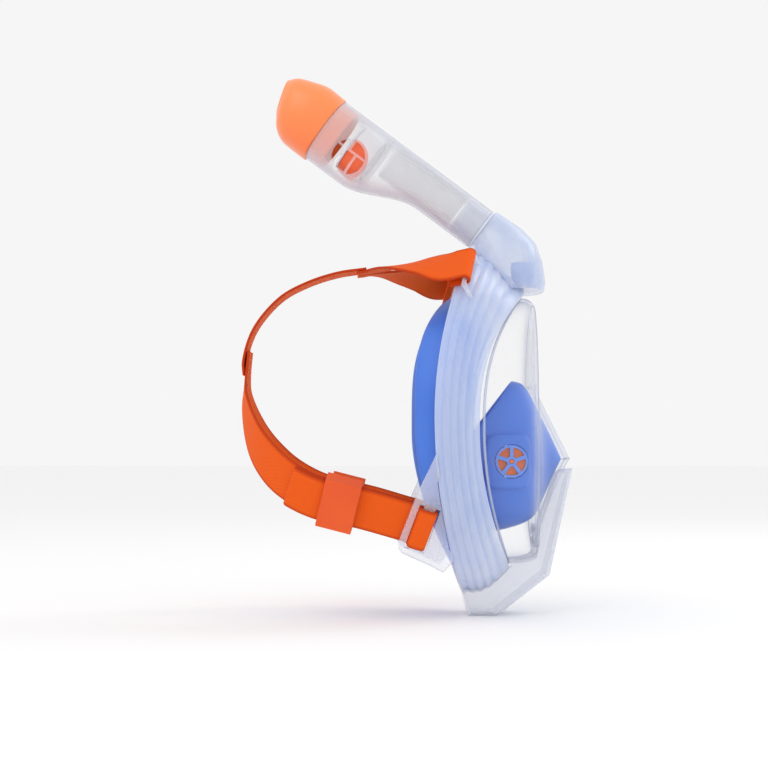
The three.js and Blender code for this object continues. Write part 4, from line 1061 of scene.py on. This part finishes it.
makeBand()
branches = (("strapLower", "lower_strap", makeLowerStrap), ("strapUpper", "upper_strap", makeUpperStrap))
for name, cadName, makeBranch in branches:
    mesh = makeBranch()
    right = mirrorMesh(mesh, name + "Right")
    place(name + "_left", mesh, "webbing", "mask", [cadName + "_left"], "orange_webbing")
    place(name + "_right", right, "webbing", "mask", [cadName + "_right"], "orange_webbing")
for side in ("left", "right"):
    finishedCopy("strap_keeper_" + side, "keeper", "keeper_" + side, "orange_silicone", 0.7)
    finishedCopy("lower_buckle_" + side, "guard", "mask", "clear_plastic", 0.5)
    finishedCopy("upper_bar_" + side, "guard", "mask", "clear_plastic", 0.0)
print("harness made")


studio = {
    "floorZ": -0.1592, "pale": (0.97, 0.97, 0.97), "radius": 30.0, "columns": 96, "sky": 0.92,
    "key": {"spot": (-0.9, -1.3, 1.5), "size": 1.2, "power": 5},
    "rim": {"spot": (1.2, 0.6, 1.2), "size": 0.8, "power": 4},
    "fill": {"spot": (0.6, -1.6, 0.2), "size": 1.0, "power": 1.6},
}


# Floor: one flat round sheet under the chin guard.
def makeFloor():
    columns = studio["columns"]
    angle = np.arange(columns) / columns * turn
    rim = np.stack([np.cos(angle), np.sin(angle), np.zeros(columns)], -1) * studio["radius"]
    rim[:, 2] = studio["floorZ"]
    mesh = bpy.data.meshes.new("floor")
    mesh.from_pydata(rim.tolist(), [], [list(range(columns))])
    mat, tree, shader = startMaterial("floorPaper")
    shader.inputs["Base Color"].default_value = (*studio["pale"], 1)
    shader.inputs["Roughness"].default_value = 0.95
    shader.inputs["Specular IOR Level"].default_value = 0.1
    mesh.materials.append(mat)
    obj = bpy.data.objects.new("floor", mesh)
    bpy.context.scene.collection.objects.link(obj)


# Area light: a square sheet turned to the middle of the mask.
def makeLight(name):
    look = studio[name]
    data = bpy.data.lights.new(name, "AREA")
    data.shape = "RECTANGLE"
    data.size = data.size_y = look["size"]
    data.energy = look["power"]
    obj = bpy.data.objects.new(name, data)
    obj.location = look["spot"]
    obj.rotation_mode = "QUATERNION"
    obj.rotation_quaternion = (-Vector(look["spot"])).to_track_quat("-Z", "Y")
    bpy.context.scene.collection.objects.link(obj)


makeFloor()
bpy.context.scene.view_settings.view_transform = "Standard"
world = bpy.data.worlds.new("studio")
world.use_nodes = True
world.node_tree.nodes["Background"].inputs["Color"].default_value = (1, 1, 1, 1)
world.node_tree.nodes["Background"].inputs["Strength"].default_value = studio["sky"]
bpy.context.scene.world = world
for lightName in ("key", "rim", "fill"):
    makeLight(lightName)
print("studio made")
